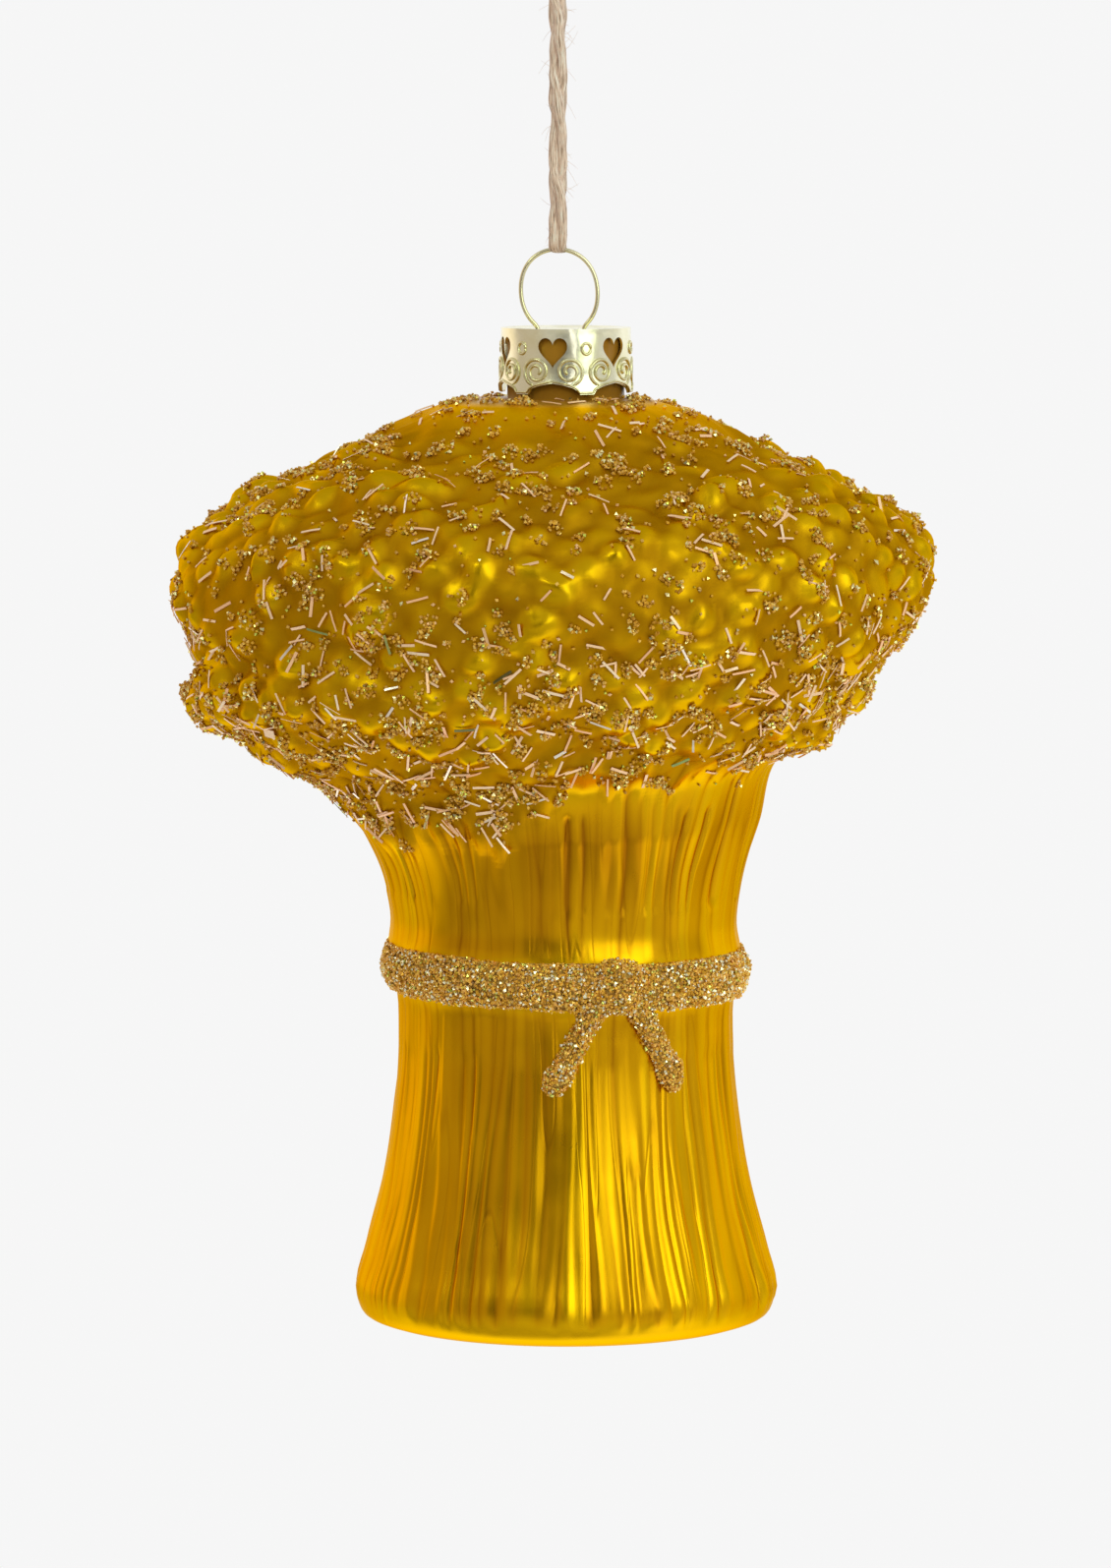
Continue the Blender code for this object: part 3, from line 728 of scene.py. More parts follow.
def seam_relief(even, height):
    """The fine ridge where the mould's halves met, which shows near the foot."""
    off = np.minimum(*(np.abs(turned(even - seam)) for seam in SEAMS))
    fade = np.interp(height, (0.001, 0.002, 0.012, 0.020), (0, 1, 1, 0))
    return SEAM_RISE * np.exp(-((off / SEAM_TURN) ** 2)) * fade


def painted_side_shade(even, height):
    """Painted shade on the left side; it moves towards the middle above the tie, and doubles in the
    flare.
    """
    middle = SHADED_SIDE * np.interp(height, FLARE_START, (1.0, 0.4))
    broad = np.interp(np.cos(even - middle), (0.75, 0.96), (0.0, 0.40))
    return broad * np.interp(height, (0.002, 0.012, *FLARE_START), (0.0, 1.0, 1.0, 2.0))


def reed_relief(even, along):
    """Rise of the reeds, how deep in a groove each point lies, and its random brown and painted
    shade.
    """
    height = height_at(along)
    worn = np.interp(np.cos(even - FAINT_SIDE), (0.35, 0.85), (1.0, 0.7))
    reed, place = reed_place(even)
    side = np.where(place < 0, -1.0, 1.0)
    blend = 0.5 * np.clip((np.abs(place) - 0.25) / 0.25, 0.0, 1.0) ** 1.5
    own, other = (reed_face(reed + k * side, place - k * side, along) for k in (0, 1))
    face = (1 - blend) * own + blend * other
    depth, groove_fade = reed_grooves(reed, place, along, height)
    from_groove = 0.5 - np.abs(place)
    hollow, narrow = (np.exp(-((from_groove / wide) ** 2)) for wide in (GROOVE_WIDE, GROOVE_NARROW))
    foot_fade = np.interp(height, (REED_END - 0.0004, REED_END + 0.0012), (0.0, 1.0))
    groove_fade *= foot_fade * worn
    face_fade = foot_fade * np.interp(height, (0.052, 0.062), (1.0, 0.15)) * worn
    slit = REED_GROOVE * depth * hollow * groove_fade
    # Lacquer run together in the groove, and painted shade there.
    pooled_and_shaded = narrow * np.clip(depth, 0, 1.4) * groove_fade
    own, other = (drift((reed + k * side) % REED_COUNT + 300.0, along, 0.055) for k in (0, 1))
    stain_and_shade = worn**2 * ((1 - blend) * own + blend * other)
    # Painted shade: the flare under the head is darker.
    stain_and_shade *= np.interp(height, (0.043, 0.055), (1.0, 1.7))
    stain_and_shade += painted_side_shade(even, height)
    return face * face_fade - slit + seam_relief(even, height), pooled_and_shaded, stain_and_shade


# %% [markdown]
# ### The band
#
# The band is a half-round roll round the waist, with a soft hollow where it leaves the reeds.

# %% The band
BAND_HEIGHT = 0.0385
BAND_THICKNESS = 0.0050
BAND_RISE = 0.0014
BAND_DROP = 0.00043  # how much lower it runs on the right


def band_middle(azimuth):
    """Height of the band's middle line."""
    return BAND_HEIGHT - BAND_DROP * np.sin(azimuth)


def band_share(azimuth, height):
    """Place across the band, from -1 at its lower edge to 1 at its upper edge."""
    return (height - band_middle(azimuth)) / (BAND_THICKNESS / 2)


def band_relief(azimuth, height):
    """Rise of the band's roll and of the hollows beside it, and the place across the band."""
    share = band_share(azimuth, height)
    roll = BAND_RISE * np.sqrt(np.clip(1 - share**2, 0, 1)) * (1 + 0.06 * np.sin(9 * azimuth + 1.0))
    above = 0.00070 * np.exp(-((np.clip(share - 0.9, 0, None) / 0.80) ** 2))
    below = 0.00030 * np.exp(-((np.clip(-share - 0.9, 0, None) / 0.45) ** 2))
    return np.maximum(roll, np.where(share > 0, above, below)), share


# %% [markdown]
# ### Kernels
#
# The kernels lie in staggered rows, each shifted, sized and stretched by chance. A kernel is a
# rounded lump. Where two meet they blend, and slow uneven swellings lift whole ears.

# %% Kernels
KERNEL_ROWS = 23
TOP_ROWS = 5  # the rows nearest the neck hold half as many kernels
KERNEL_RISE = 0.00115
KERNEL_SHIFT = 0.60  # how far chance moves a kernel, in columns and rows
KERNEL_WIDE = 1.02  # half of a kernel's width, in columns of the lattice
KERNEL_TALL = 1.06  # half of its height, in rows
EAR_WAVE = 0.0006
EAR_SWELL, EAR_SIZE = 0.00050, 0.0085
SMALL_SWELL, SMALL_SIZE = 0.00054, 0.0033
ROW_PITCH = (KERNEL_END - KERNEL_START) / (KERNEL_ROWS - 1)
ROW_SWELLS = (0, 1, 2, 4, KERNEL_ROWS - 4, KERNEL_ROWS - 1), (0.0, 0.1, 0.4, 1.0, 1.0, 0.6)


def kernel_relief(even, along):
    """Rise of the kernels, the height above their valleys, and a share that is 1 on the head."""
    place = (along - KERNEL_START) / ROW_PITCH
    total = np.zeros(len(even))
    for step in (-2, -1, 0, 1, 2):
        row = np.floor(place + 0.5) + step
        inside = (row >= 0) & (row <= KERNEL_ROWS - 1)
        inner = (row > 0) & (row < KERNEL_ROWS - 1)
        count = np.where(row < KERNEL_ROWS - TOP_ROWS, REED_COUNT, REED_COUNT // 2)
        column = even * count / TWO_PI
        odd = np.mod(row, 2)
        for side in (-2, 0, 2):
            which = 2 * np.floor((column - odd) / 2 + 0.5) + odd + side
            key = np.mod(which, count)
            sideways = KERNEL_SHIFT * (uneven(key, row + 40.0) - 0.5) * np.minimum(1.0, row / 2)
            up = KERNEL_SHIFT * (uneven(key, row + 80.0) - 0.5) * inner
            size = 0.30 + 1.05 * uneven(key, row + 1.0) ** 1.2
            wide = KERNEL_WIDE * (0.80 + 0.36 * uneven(key, row + 120.0))
            tall = KERNEL_TALL * (0.85 + 0.30 * uneven(key, row + 160.0))
            off = ((column - which - sideways) / wide) ** 2 + ((place - row - up) / tall) ** 2
            dome = np.clip(1.0 - off, 0.0, 1.0) ** 1.5
            total += np.where(inside, dome * size * np.interp(row, *ROW_SWELLS), 0.0) ** 3
    lump = np.cbrt(total)
    wave = EAR_WAVE * np.sin(7 * even + 0.9 * place) * np.sin(3 * even + 0.4 * place)
    turns = (KERNEL_START, KERNEL_START + 3.5 * ROW_PITCH, KERNEL_END, STATIONS[-2])
    ends = np.interp(along, turns, (0.0, 1.0, 1.0, 0.0))
    return wave * ends + KERNEL_RISE * lump, lump, ends


# %% [markdown]
# ### The glue's edge and the lumps of the outline
#
# The glue ran down unevenly. Its edge is a ragged line, read off the photograph at a few
# azimuths, and the dried glue below the kernels is a low crust that fades in over 4 mm. The
# head's left end has one notch and two small lobes that show in the outline.

# %% The glue's edge and the lumps of the outline
GLUE_EDGE = (  # azimuth in degrees, and height in millimetres
    (-180, 58.0), (-140, 57.0), (-90, 56.0), (-64, 53.4), (-27, 53.8), (-10, 55.2), (-2, 58.6),
    (20, 60.0), (41, 59.0), (67, 61.0), (80, 63.0), (120, 60.0), (180, 58.0),
)
CRUST_FADE = 0.0040
CRUST_TOP = 0.070  # from here up the kernels take over
CRUST_RISE, CRUST_LUMPS, CRUST_SIZE = 0.00010, 0.00050, 0.0024
END_LUMPS = (  # azimuth in degrees; height, reach and rise in metres
    (-90, 0.0733, 0.0020, -0.0015),
    (-90, 0.0688, 0.0017, 0.0008),
    (-93, 0.0905, 0.0012, 0.0007),
)
END_TURN = 0.24  # how far round they reach, in radians


def glue_line(azimuth):
    """Height at which the glue stops: a ragged line that dips on the left of the front."""
    turns, heights = np.transpose(GLUE_EDGE)
    line = np.interp(turned(azimuth), np.radians(turns), heights / 1000)
    for size, waves, start in ((0.0010, 9, 1.0), (0.0008, 23, 0.0), (0.0005, 61, 0.0)):
        line = line + size * np.sin(waves * azimuth + start)
    return line


def crust_share(azimuth, height):
    """A share that is 1 on the dried glue below the kernels."""
    crust = np.clip((height - glue_line(azimuth) + 0.0010) / CRUST_FADE, 0.0, 1.0)
    crust *= height < CRUST_TOP
    return crust * crust * (3 - 2 * crust)


def end_rise(azimuth, height):
    """Rise of the single swellings and dents that show in the outline."""
    total = np.zeros(len(azimuth))
    for turn, level, reach, rise in END_LUMPS:
        side = turned(azimuth - math.radians(turn))
        total += rise * np.exp(-((side / END_TURN) ** 2) - ((height - level) / reach) ** 2)
    return total


# %% [markdown]
# ### The grid that becomes the glass
#
# Its columns lie closer at the grooves and its rows closer at the band and the kernels. All
# rules above add up to one rise for each vertex. The numbers that the lacquer asks for, such
# as the depth in a groove, are stored on the mesh at the same time.

# %% The grid that becomes the glass
REED_COLUMNS = np.array((0.0, 0.15, 0.36, 0.64, 0.85))  # from one groove to the next
COLUMNS = len(REED_COLUMNS) * REED_COUNT
EVEN = (np.arange(REED_COUNT)[:, None] + REED_COLUMNS[None, :]).ravel() * TWO_PI / REED_COUNT
half_band = 0.7 * BAND_THICKNESS + BAND_DROP
band_low, band_high = along_at(BAND_HEIGHT + np.array((-1, 1)) * half_band)
turns = (0.0, STATIONS[FOOT_STEPS], band_low, band_high, HEAD_START, KERNEL_END)
counts = (9, 30, 25, 18, 122)
rows = [np.linspace(a, b, count)[:-1] for a, b, count in zip(turns, turns[1:], counts)]
ROWS = np.concatenate([*rows, np.linspace(KERNEL_END, STATIONS[-1], 9)])

bpy.ops.object.select_all(action="DESELECT")
bpy.ops.mesh.primitive_grid_add(x_subdivisions=COLUMNS, y_subdivisions=len(ROWS) - 1, size=1.0)
glass = bpy.context.object
flat = points_of(glass)
even = EVEN[np.round((flat[:, 0] + 0.5) * COLUMNS).astype(int) % COLUMNS]
along = ROWS[np.round((flat[:, 1] + 0.5) * (len(ROWS) - 1)).astype(int)]
height = height_at(along)
azimuth = stem_azimuth(even, along)
print(f"the glass has {COLUMNS} columns and {len(ROWS)} rows of vertices")

# %% The rise of every vertex
reeds, groove, stain_and_shade = reed_relief(even, along)
roll, share = band_relief(azimuth, height)
kernels, lump, on_head = kernel_relief(even, along)
plain_skin = skin(azimuth, along, np.zeros(len(even)))
crust = crust_share(azimuth, height)
stems = np.interp(along, (HEAD_START, KERNEL_START), (1.0, 0.0))
stems *= np.clip((height - REED_END) / 0.001, 0, 1)
stems *= np.clip(2 * (np.abs(share) - 1), 0, 1)
stem_swell = stems * SOFT_REEDS * swelling(plain_skin, np.array((0.0026, 0.0026, 0.011)))
stems *= 1 - crust
group_swell = REED_GROUPS * stems * swelling(plain_skin, np.array((0.0055, 0.0055, 0.030)))
ear_swell = EAR_SWELL * swelling(plain_skin, EAR_SIZE)
ear_swell += SMALL_SWELL * swelling(plain_skin, SMALL_SIZE)
crust_lumps = np.clip(0.4 + swelling(plain_skin, CRUST_SIZE), 0.0, 1.0)
rise = np.where(np.abs(share) > 3.2, reeds, np.maximum(roll, reeds)) + kernels
rise += on_head * (ear_swell + end_rise(azimuth, height)) + stem_swell + group_swell
rise += (1 - on_head) * crust * (CRUST_RISE + CRUST_LUMPS * crust_lumps)
move_points(glass, skin(azimuth, along, rise))

for name, values in (
    ("groove", np.where(np.abs(share) < 1, 0.0, groove)),
    ("lump", lump),
    ("stems", stems),
    ("stain_and_shade", stain_and_shade * stems),
    ("across", np.sin(even)),
    ("toward", np.cos(even)),
    ("run", along / math.sqrt(2)),
    ("glue", np.maximum(crust, on_head)),
    ("neck", np.clip((height - 0.1000) / 0.0004, 0.0, 1.0)),
):
    give_values(glass, name, values)
print(f"its relief reaches from {1000 * rise.min():.1f} to {1000 * rise.max():.1f} mm")

# %% [markdown]
# ### Close the foot and the neck
#
# Both open edges are drawn out ring by ring and merged to a point. The foot gets a slightly
# hollow underside. The neck goes up into the cap, and its bore back down into the head.

# %% Close the foot and the neck
BORE_DEPTH = 0.0141


def edge_ring(piece, height, radius):
    """Selects the vertices of an open edge at a height, within a radius of the axis."""
    bpy.ops.mesh.select_all(action="DESELECT")
    mesh = bmesh.from_edit_mesh(piece.data)
    for vertex in mesh.verts:
        near = math.hypot(vertex.co.x - SHEAF_OFFSET, vertex.co.y) < radius
        vertex.select_set(vertex.is_boundary and near and abs(vertex.co.z - height) < 0.0006)
    mesh.select_flush(True)
    bmesh.update_edit_mesh(piece.data)


def draw_out(lift, scale):
    """Extrudes the selected ring by a height, then scales it about the sheaf's axis."""
    bpy.ops.mesh.extrude_region_move(TRANSFORM_OT_translate={"value": (0.0, 0.0, lift)})
    if scale != 1.0:
        axis = (SHEAF_OFFSET, 0.0, FOOT_Z)
        bpy.ops.transform.resize(value=(scale, scale, 1.0), center_override=axis)


def close_with(*rings):
    """Draws the selected ring out in steps of (height, scale), and merges it to a point."""
    for lift, scale in rings:
        draw_out(lift, scale)
    bpy.ops.mesh.merge(type="CENTER")


wall_faces = len(glass.data.polygons)  # those that keep their place in the list of faces
only(glass)
bpy.ops.object.mode_set(mode="EDIT")
bpy.ops.mesh.select_all(action="SELECT")
bpy.ops.mesh.remove_doubles(threshold=1e-7)
bpy.ops.mesh.select_mode(type="VERT")
edge_ring(glass, FOOT_Z, 1.0)
close_with((-0.00005, 0.97), (0.0004, 0.90), (0.0008, 0.55), (0.0002, 0.30))
edge_ring(glass, FOOT_Z + SHEAF_HEIGHT, 1.3 * NECK_RADIUS)
close_with(
    (CAP_TOP - SHEAF_HEIGHT - 0.0009, 1.0),
    (0.0003, 0.96),
    (0.0, 0.88),
    (-0.0003, 0.96),
    (-BORE_DEPTH, 1.0),
    (0.0, 0.50),
)
bpy.ops.object.mode_set(mode="OBJECT")
outwards(glass)
smooth(glass)
print(f"the closed glass has {len(glass.data.vertices)} vertices")

# %% [markdown]
# ### The lacquer
#
# Silver behind a clear yellow lacquer looks like a satin metal. It is lemon where the lacquer
# is thin and orange-brown where it has run together, as in the grooves, whose darker tone is
# also painted shade. Besides the grooves of the mesh there are finer lines that run with the
# straw. They come from noise that is stretched along the reeds, and that is thin and dark where
# it crosses its middle value; that dark is lacquer run together and painted shade as well. On
# the head, painted shade darkens the valleys between the kernels. The edge tint keeps the glass
# yellow where it is seen at a slant, because white light goes twice through the lacquer there
# as well.

# %% The lacquer
STRAW = (10.0, 10.0, 34.0)  # how the fine lines' noise is stretched along the reeds
LINE_WIDTH = 0.030
GROOVE_LACQUER_AND_SHADE, LINE_LACQUER_AND_SHADE, STAIN_AND_SHADE_DEPTH = 0.65, 0.14, 0.42  # how much grooves, lines and stains deepen the tone; each holds painted shade as well
PAINTED_VALLEY_SHADE, TOP = 0.62, 0.14  # tone of the head between its kernels, painted shade, and on top of them
GLUE_TINT = (0.85, 0.93, 1.0, 1.0)
BARE_GLASS = (0.36, 0.16, 0.015, 1.0)


def lacquer_nodes(add):
    groove, stems, stain_and_shade, lump, glue, neck, across, toward, run = (
        stored(add, name)
        for name in ("groove", "stems", "stain_and_shade", "lump", "glue", "neck", "across", "toward", "run")
    )
    circle = add("CombineXYZ", {"X": across, "Y": toward, "Z": run})
    straw = add("VectorMath", {0: circle, 1: STRAW}, operation="MULTIPLY")
    wander = add("TexNoise", {"Vector": straw, "Scale": 1.0, "Detail": 0.6})
    off = reckon(add, "ABSOLUTE", reckon(add, "SUBTRACT", wander, 0.5))
    lines = reckon(add, "MULTIPLY", between(add, off, 0.0, LINE_WIDTH, 1.0, 0.0), stems)
    # Painted shade: the head is darker between its kernels than on their tops.
    head = reckon(add, "MULTIPLY", between(add, lump, 0.10, 0.80, PAINTED_VALLEY_SHADE, TOP), glue)
    # Grooves and fine lines: lacquer run together, and painted shade.
    depth = reckon(add, "MULTIPLY", groove, GROOVE_LACQUER_AND_SHADE)
    depth = reckon(add, "MULTIPLY_ADD", lines, LINE_LACQUER_AND_SHADE, depth)
    depth = reckon(add, "ADD", depth, head)
    # Random brown stains, with painted shade on the left side and in the flare.
    depth = reckon(add, "MULTIPLY_ADD", stain_and_shade, STAIN_AND_SHADE_DEPTH, depth)
    depth = reckon(add, "ADD", depth, clouds(add, 75.0, -0.12, 0.12), use_clamp=True)
    tone = ramp(add, depth, [
        (0.00, (0.820, 0.465, 0.003)),
        (0.25, (0.760, 0.385, 0.003)),
        (0.55, (0.600, 0.280, 0.003)),
        (1.00, (0.380, 0.145, 0.003)),
    ])
    muted = {"Fac": glue, "Color1": tone, "Color2": GLUE_TINT}
    muted = add("MixRGB", muted, blend_type="MULTIPLY")
    dull = between(add, lump, 0.20, 0.90, 0.28, 0.02)
    lift = {"Height": lines, "Strength": 0.2, "Distance": 0.00012}
    lift = add("Bump", lift, invert=True)
    place = add("TexCoord", out="Object")
    ripple = add("TexNoise", {"Vector": place, "Scale": 360.0, "Detail": 0.5})
    dried = {"Height": reckon(add, "MULTIPLY", ripple, glue), "Normal": lift}
    return {
        "Base Color": add("MixRGB", {"Fac": neck, "Color1": muted, "Color2": BARE_GLASS}),
        "Metallic": between(add, neck, 0.0, 1.0, 1.0, 0.0, "LINEAR"),
        "Roughness": reckon(add, "MULTIPLY_ADD", glue, dull, clouds(add, 260.0, 0.27, 0.35)),
        "Specular Tint": (1.0, 0.72, 0.10, 1.0),
        "Normal": add("Bump", {**dried, "Strength": 0.8, "Distance": 0.0011}),
    }


finish_piece(
    glass, "glass_sheaf_skin", material("golden lacquered glass", lacquer_nodes),
    nodes=["glass_sheaf"],
)

# %% [markdown]
# ## The tie's knot and tails
#
# They are lumps of the same glass, under a full coat of glitter. The knot starts as a sphere
# and each tail as a tube, and both are sunk into the stems, so that no seam shows.

# %% The tie's knot and tails
KNOT_AZIMUTH = math.radians(17.2)
KNOT_WIDTH = 0.0060
KNOT_HEIGHT = 0.0054
KNOT_RISE = 0.0010  # out of the band
TAIL_RADIUS = 0.00105
TAIL_SWELLS = (0, 0.15, 0.5, 0.85, 0.95, 1.0), (0.8, 1.0, 0.95, 1.08, 0.95, 0.6)
TAIL_LIFT = 0.0001
TAIL_DROP = 0.0088
TAIL_START, TAIL_END = 0.0016, 0.0070  # sideways from the knot's middle
TAIL_POINTS, TAIL_SIDES = 28, 20


def tie_place(sideways, height, rise):
    """A point over the stems, sideways from the middle of the tie's knot."""
    azimuth = np.array([KNOT_AZIMUTH + sideways / WAIST_RADIUS])
    return skin(azimuth, np.array([along_at(height)]), np.array([rise]))[0]


bpy.ops.object.select_all(action="DESELECT")
bpy.ops.mesh.primitive_uv_sphere_add(segments=32, ring_count=20, radius=1.0)
tie_knot = bpy.context.object
tie_knot.scale = (KNOT_WIDTH / 2, BAND_RISE + KNOT_RISE, KNOT_HEIGHT / 2)
tie_knot.rotation_euler = (0.0, 0.0, KNOT_AZIMUTH)
tie_knot.location = tie_place(0.0, BAND_HEIGHT, 0.0)
settle(tie_knot)
lumps = points_of(tie_knot)
middle = lumps.mean(axis=0)
swell = 1 + 0.07 * np.sin(900 * lumps[:, 0] + 500 * lumps[:, 2]) + 0.05 * np.sin(1400 * lumps[:, 2])
move_points(tie_knot, middle + (lumps - middle) * swell[:, None])
smooth(tie_knot)

tails = []
for side in (-1, 1):
    places = []
    for share in np.linspace(0.0, 1.0, 9):
        sideways = side * (TAIL_START + (TAIL_END - TAIL_START) * share**0.9)
        height = BAND_HEIGHT - BAND_THICKNESS / 2 + TAIL_RADIUS * (1 - share) - TAIL_DROP * share
        places.append(tie_place(sideways, height, TAIL_LIFT))
    share = np.linspace(0.0, 1.0, TAIL_POINTS)
    radii = TAIL_RADIUS * np.interp(share, *TAIL_SWELLS) * (1 + 0.05 * np.sin(17 * share))
    points, faces, _ = tube_mesh(evenly(places, TAIL_POINTS), radii, TAIL_SIDES)
    tail = mesh_piece("tail", points, faces)
    outwards(tail)
    smooth(tail)
    tails.append(tail)
print(f"the tie has a knot and {len(tails)} tails")

# %% [markdown]
# ## Places for the glitter
#
# Glitter lies where the glue was. To scatter it, points are picked at random over the faces of
# the glass, a face as often as its area asks, and then dropped on the nearest spot of the real
# surface, which also tells which way is out.

# %% Places for the glitter
def corners_of(piece, settled=0):
    """The numbers of the vertices of the piece's triangles, in the same order each run.

    Extruded faces come in another order each run. So all triangles but the first `settled`
    are put in the order of their vertices.
    """
    piece.data.calc_loop_triangles()
    index = np.empty(3 * len(piece.data.loop_triangles), np.int32)
    piece.data.loop_triangles.foreach_get("vertices", index)
    index = index.reshape(-1, 3)
    rest = index[settled:]
    return np.vstack([index[:settled], rest[np.lexsort(rest.T)]])


def triangles_of(piece, settled=0):
    """The piece's triangles, as an array of (triangle, corner, xyz)."""
    return points_of(piece)[corners_of(piece, settled)]


def unit(ways):
    """The same directions with a length of one."""
    return ways / np.linalg.norm(ways, axis=-1, keepdims=True)


def scatter(corners, weight, count):
    """`count` points on triangles, as many as area times weight asks, and the way out."""
    normal = np.cross(corners[:, 1] - corners[:, 0], corners[:, 2] - corners[:, 0])
    area = np.linalg.norm(normal, axis=1) / 2 * weight
    pick = rng.choice(len(corners), count, p=area / area.sum())
    a, b = rng.random((2, count))
    over = a + b > 1
    a[over], b[over] = 1 - a[over], 1 - b[over]
    first, second, third = corners[pick].transpose(1, 0, 2)
    points = first + a[:, None] * (second - first) + b[:, None] * (third - first)
    return points, unit(normal[pick])


def tree_of(pieces):
    """A search tree over the faces of several pieces."""
    corners = np.vstack([triangles_of(piece).reshape(-1, 3) for piece in pieces])
    faces = np.arange(len(corners)).reshape(-1, 3)
    return BVHTree.FromPolygons(corners.tolist(), faces.tolist())


def drop(tree, points):
    """The nearest spot of the surface to each point, and the way out there."""
    found = [tree.find_nearest(Vector(point)) for point in points.tolist()]
    return np.array([f[0] for f in found]), np.array([f[1] for f in found])


GLUE_DENSITY = (  # height, and how much glitter the glue holds there
    (0.052, 0.060, 0.064, 0.074, 0.082, 0.100),
    (2.6, 2.0, 1.6, 1.5, 1.0, 0.85),
)
head_corners = triangles_of(glass, 2 * wall_faces)
centres = head_corners.mean(axis=1)
side_way = np.arctan2(centres[:, 0] - SHEAF_OFFSET, -centres[:, 1])
heights = centres[:, 2] - FOOT_Z
glued = np.clip((heights - glue_line(side_way)) / 0.0010, 0.0, 1.0)
glued *= np.interp(heights, (0.1004, 0.1008), (1.0, 0.0))
glued *= np.interp(heights, *GLUE_DENSITY)
print(f"glue covers {100 * (glued > 0).mean():.0f} % of the glass's faces")

# %% [markdown]
# ### Many copies of one small model
#
# A bead or a strip is modelled once. Its vertices are then copied to every place, turned and
# sized by chance, into one mesh. Each copy keeps one random number, by which the finish picks
# its colour.

# %% Many copies of one small model
def random_turns(count):
    """Random rotations, as matrices."""
    w, x, y, z = unit(rng.normal(size=(count, 4))).T
    return np.stack([
        np.stack([1 - 2 * (y * y + z * z), 2 * (x * y - z * w), 2 * (x * z + y * w)], -1),
        np.stack([2 * (x * y + z * w), 1 - 2 * (x * x + z * z), 2 * (y * z - x * w)], -1),
        np.stack([2 * (x * z - y * w), 2 * (y * z + x * w), 1 - 2 * (x * x + y * y)], -1),
    ], axis=1)


def many(name, model, places, turns, sizes, tints):
    """One mesh that holds a copy of the model at every place."""
    shape = points_of(model)
    sized = shape[None, :, :] * sizes[:, None, :]
    points = np.einsum("nij,nkj->nki", turns, sized) + places[:, None, :]
    faces = corners_of(model)[None] + (np.arange(len(places)) * len(shape))[:, None, None]
    piece = mesh_piece(name, points.reshape(-1, 3), faces.reshape(-1, 3))
    give_values(piece, "tint", np.repeat(tints, len(shape)))
    return piece


# %% [markdown]
# ### The models of a bead and of a strip
#
# A grain of glitter is a small cut crystal: two open four-sided cones, base to base, a little
# flattened. That is eight faces, few enough for many thousands of grains. A strip of tinsel
# is a thin bar with a slight bend in its middle.

# %% The model of one bead
bpy.ops.object.select_all(action="DESELECT")
bpy.ops.mesh.primitive_cone_add(
    vertices=4, radius1=1.0, radius2=0.0, depth=1.0,
    end_fill_type="NOTHING", location=(0.0, 0.0, 0.5),
)
bead = bpy.context.object
settle(bead)
bpy.ops.object.mode_set(mode="EDIT")
bpy.ops.mesh.select_all(action="SELECT")
bpy.ops.mesh.duplicate()
bpy.ops.transform.resize(value=(1.0, 1.0, -1.0), center_override=(0.0, 0.0, 0.0))
bpy.ops.mesh.select_all(action="SELECT")
bpy.ops.transform.resize(value=(1.0, 0.86, 0.92), center_override=(0.0, 0.0, 0.0))
bpy.ops.object.mode_set(mode="OBJECT")
outwards(bead)
print(f"a bead has {len(bead.data.polygons)} faces")

# %% The model of one strip of tinsel
STRIP_BEND = 1.2  # in half thicknesses of the foil

bpy.ops.object.select_all(action="DESELECT")
bpy.ops.mesh.primitive_cube_add(size=2.0)
strip = bpy.context.object
bpy.ops.object.mode_set(mode="EDIT")
bpy.ops.mesh.select_all(action="SELECT")
bpy.ops.mesh.bisect(plane_co=(0.0, 0.0, 0.0), plane_no=(1.0, 0.0, 0.0))
bpy.ops.object.mode_set(mode="OBJECT")
bent = points_of(strip)
bent[:, 2] += STRIP_BEND * (1 - np.abs(bent[:, 0]))
move_points(strip, bent)
print(f"a strip has {len(strip.data.polygons)} faces")

# %% [markdown]
# ## Glitter on the head
#
# The head's glitter lies in clumps of five to thirty grains, one to two millimetres wide,
# with single grains strewn between them. A clump is heaped up towards its middle.

# %% Glitter on the head
CLUMPS = 1500
LOOSE_BEADS = 2600
BEAD = 0.000250  # radius
SPARKLE = 0.90  # beads with a random number above this are larger and near white
SMALL_CLUMP, LARGE_CLUMP = 0.00042, 0.00120  # radius
FEW, MORE = 5, 21  # grains of the smallest clump, and what the largest adds


def clump_beads():
    """Places of the beads of all clumps, before they are dropped on the glass."""
    middles, out = scatter(head_corners, glued, CLUMPS)
    places, lifts = [], []
    for middle, way in zip(middles, out):
        reach = SMALL_CLUMP + (LARGE_CLUMP - SMALL_CLUMP) * rng.random() ** 1.3
        count = int(FEW + MORE * (reach / LARGE_CLUMP) ** 1.6 * rng.uniform(0.7, 1.3))
        side = unit(np.cross(way, rng.normal(size=3)))
        other = np.cross(way, side)
        turn = rng.uniform(0, TWO_PI, count)
        far = reach * np.sqrt(rng.random(count))
        stretch = rng.uniform(0.5, 1.3)
        across = np.outer(far * np.cos(turn) * stretch, side)
        places.append(middle + across + np.outer(far * np.sin(turn), other))
        lifts.append(BEAD * (0.4 + 2.4 * rng.random(count) * (1 - far / reach)))
    return np.vstack(places), np.concatenate(lifts)


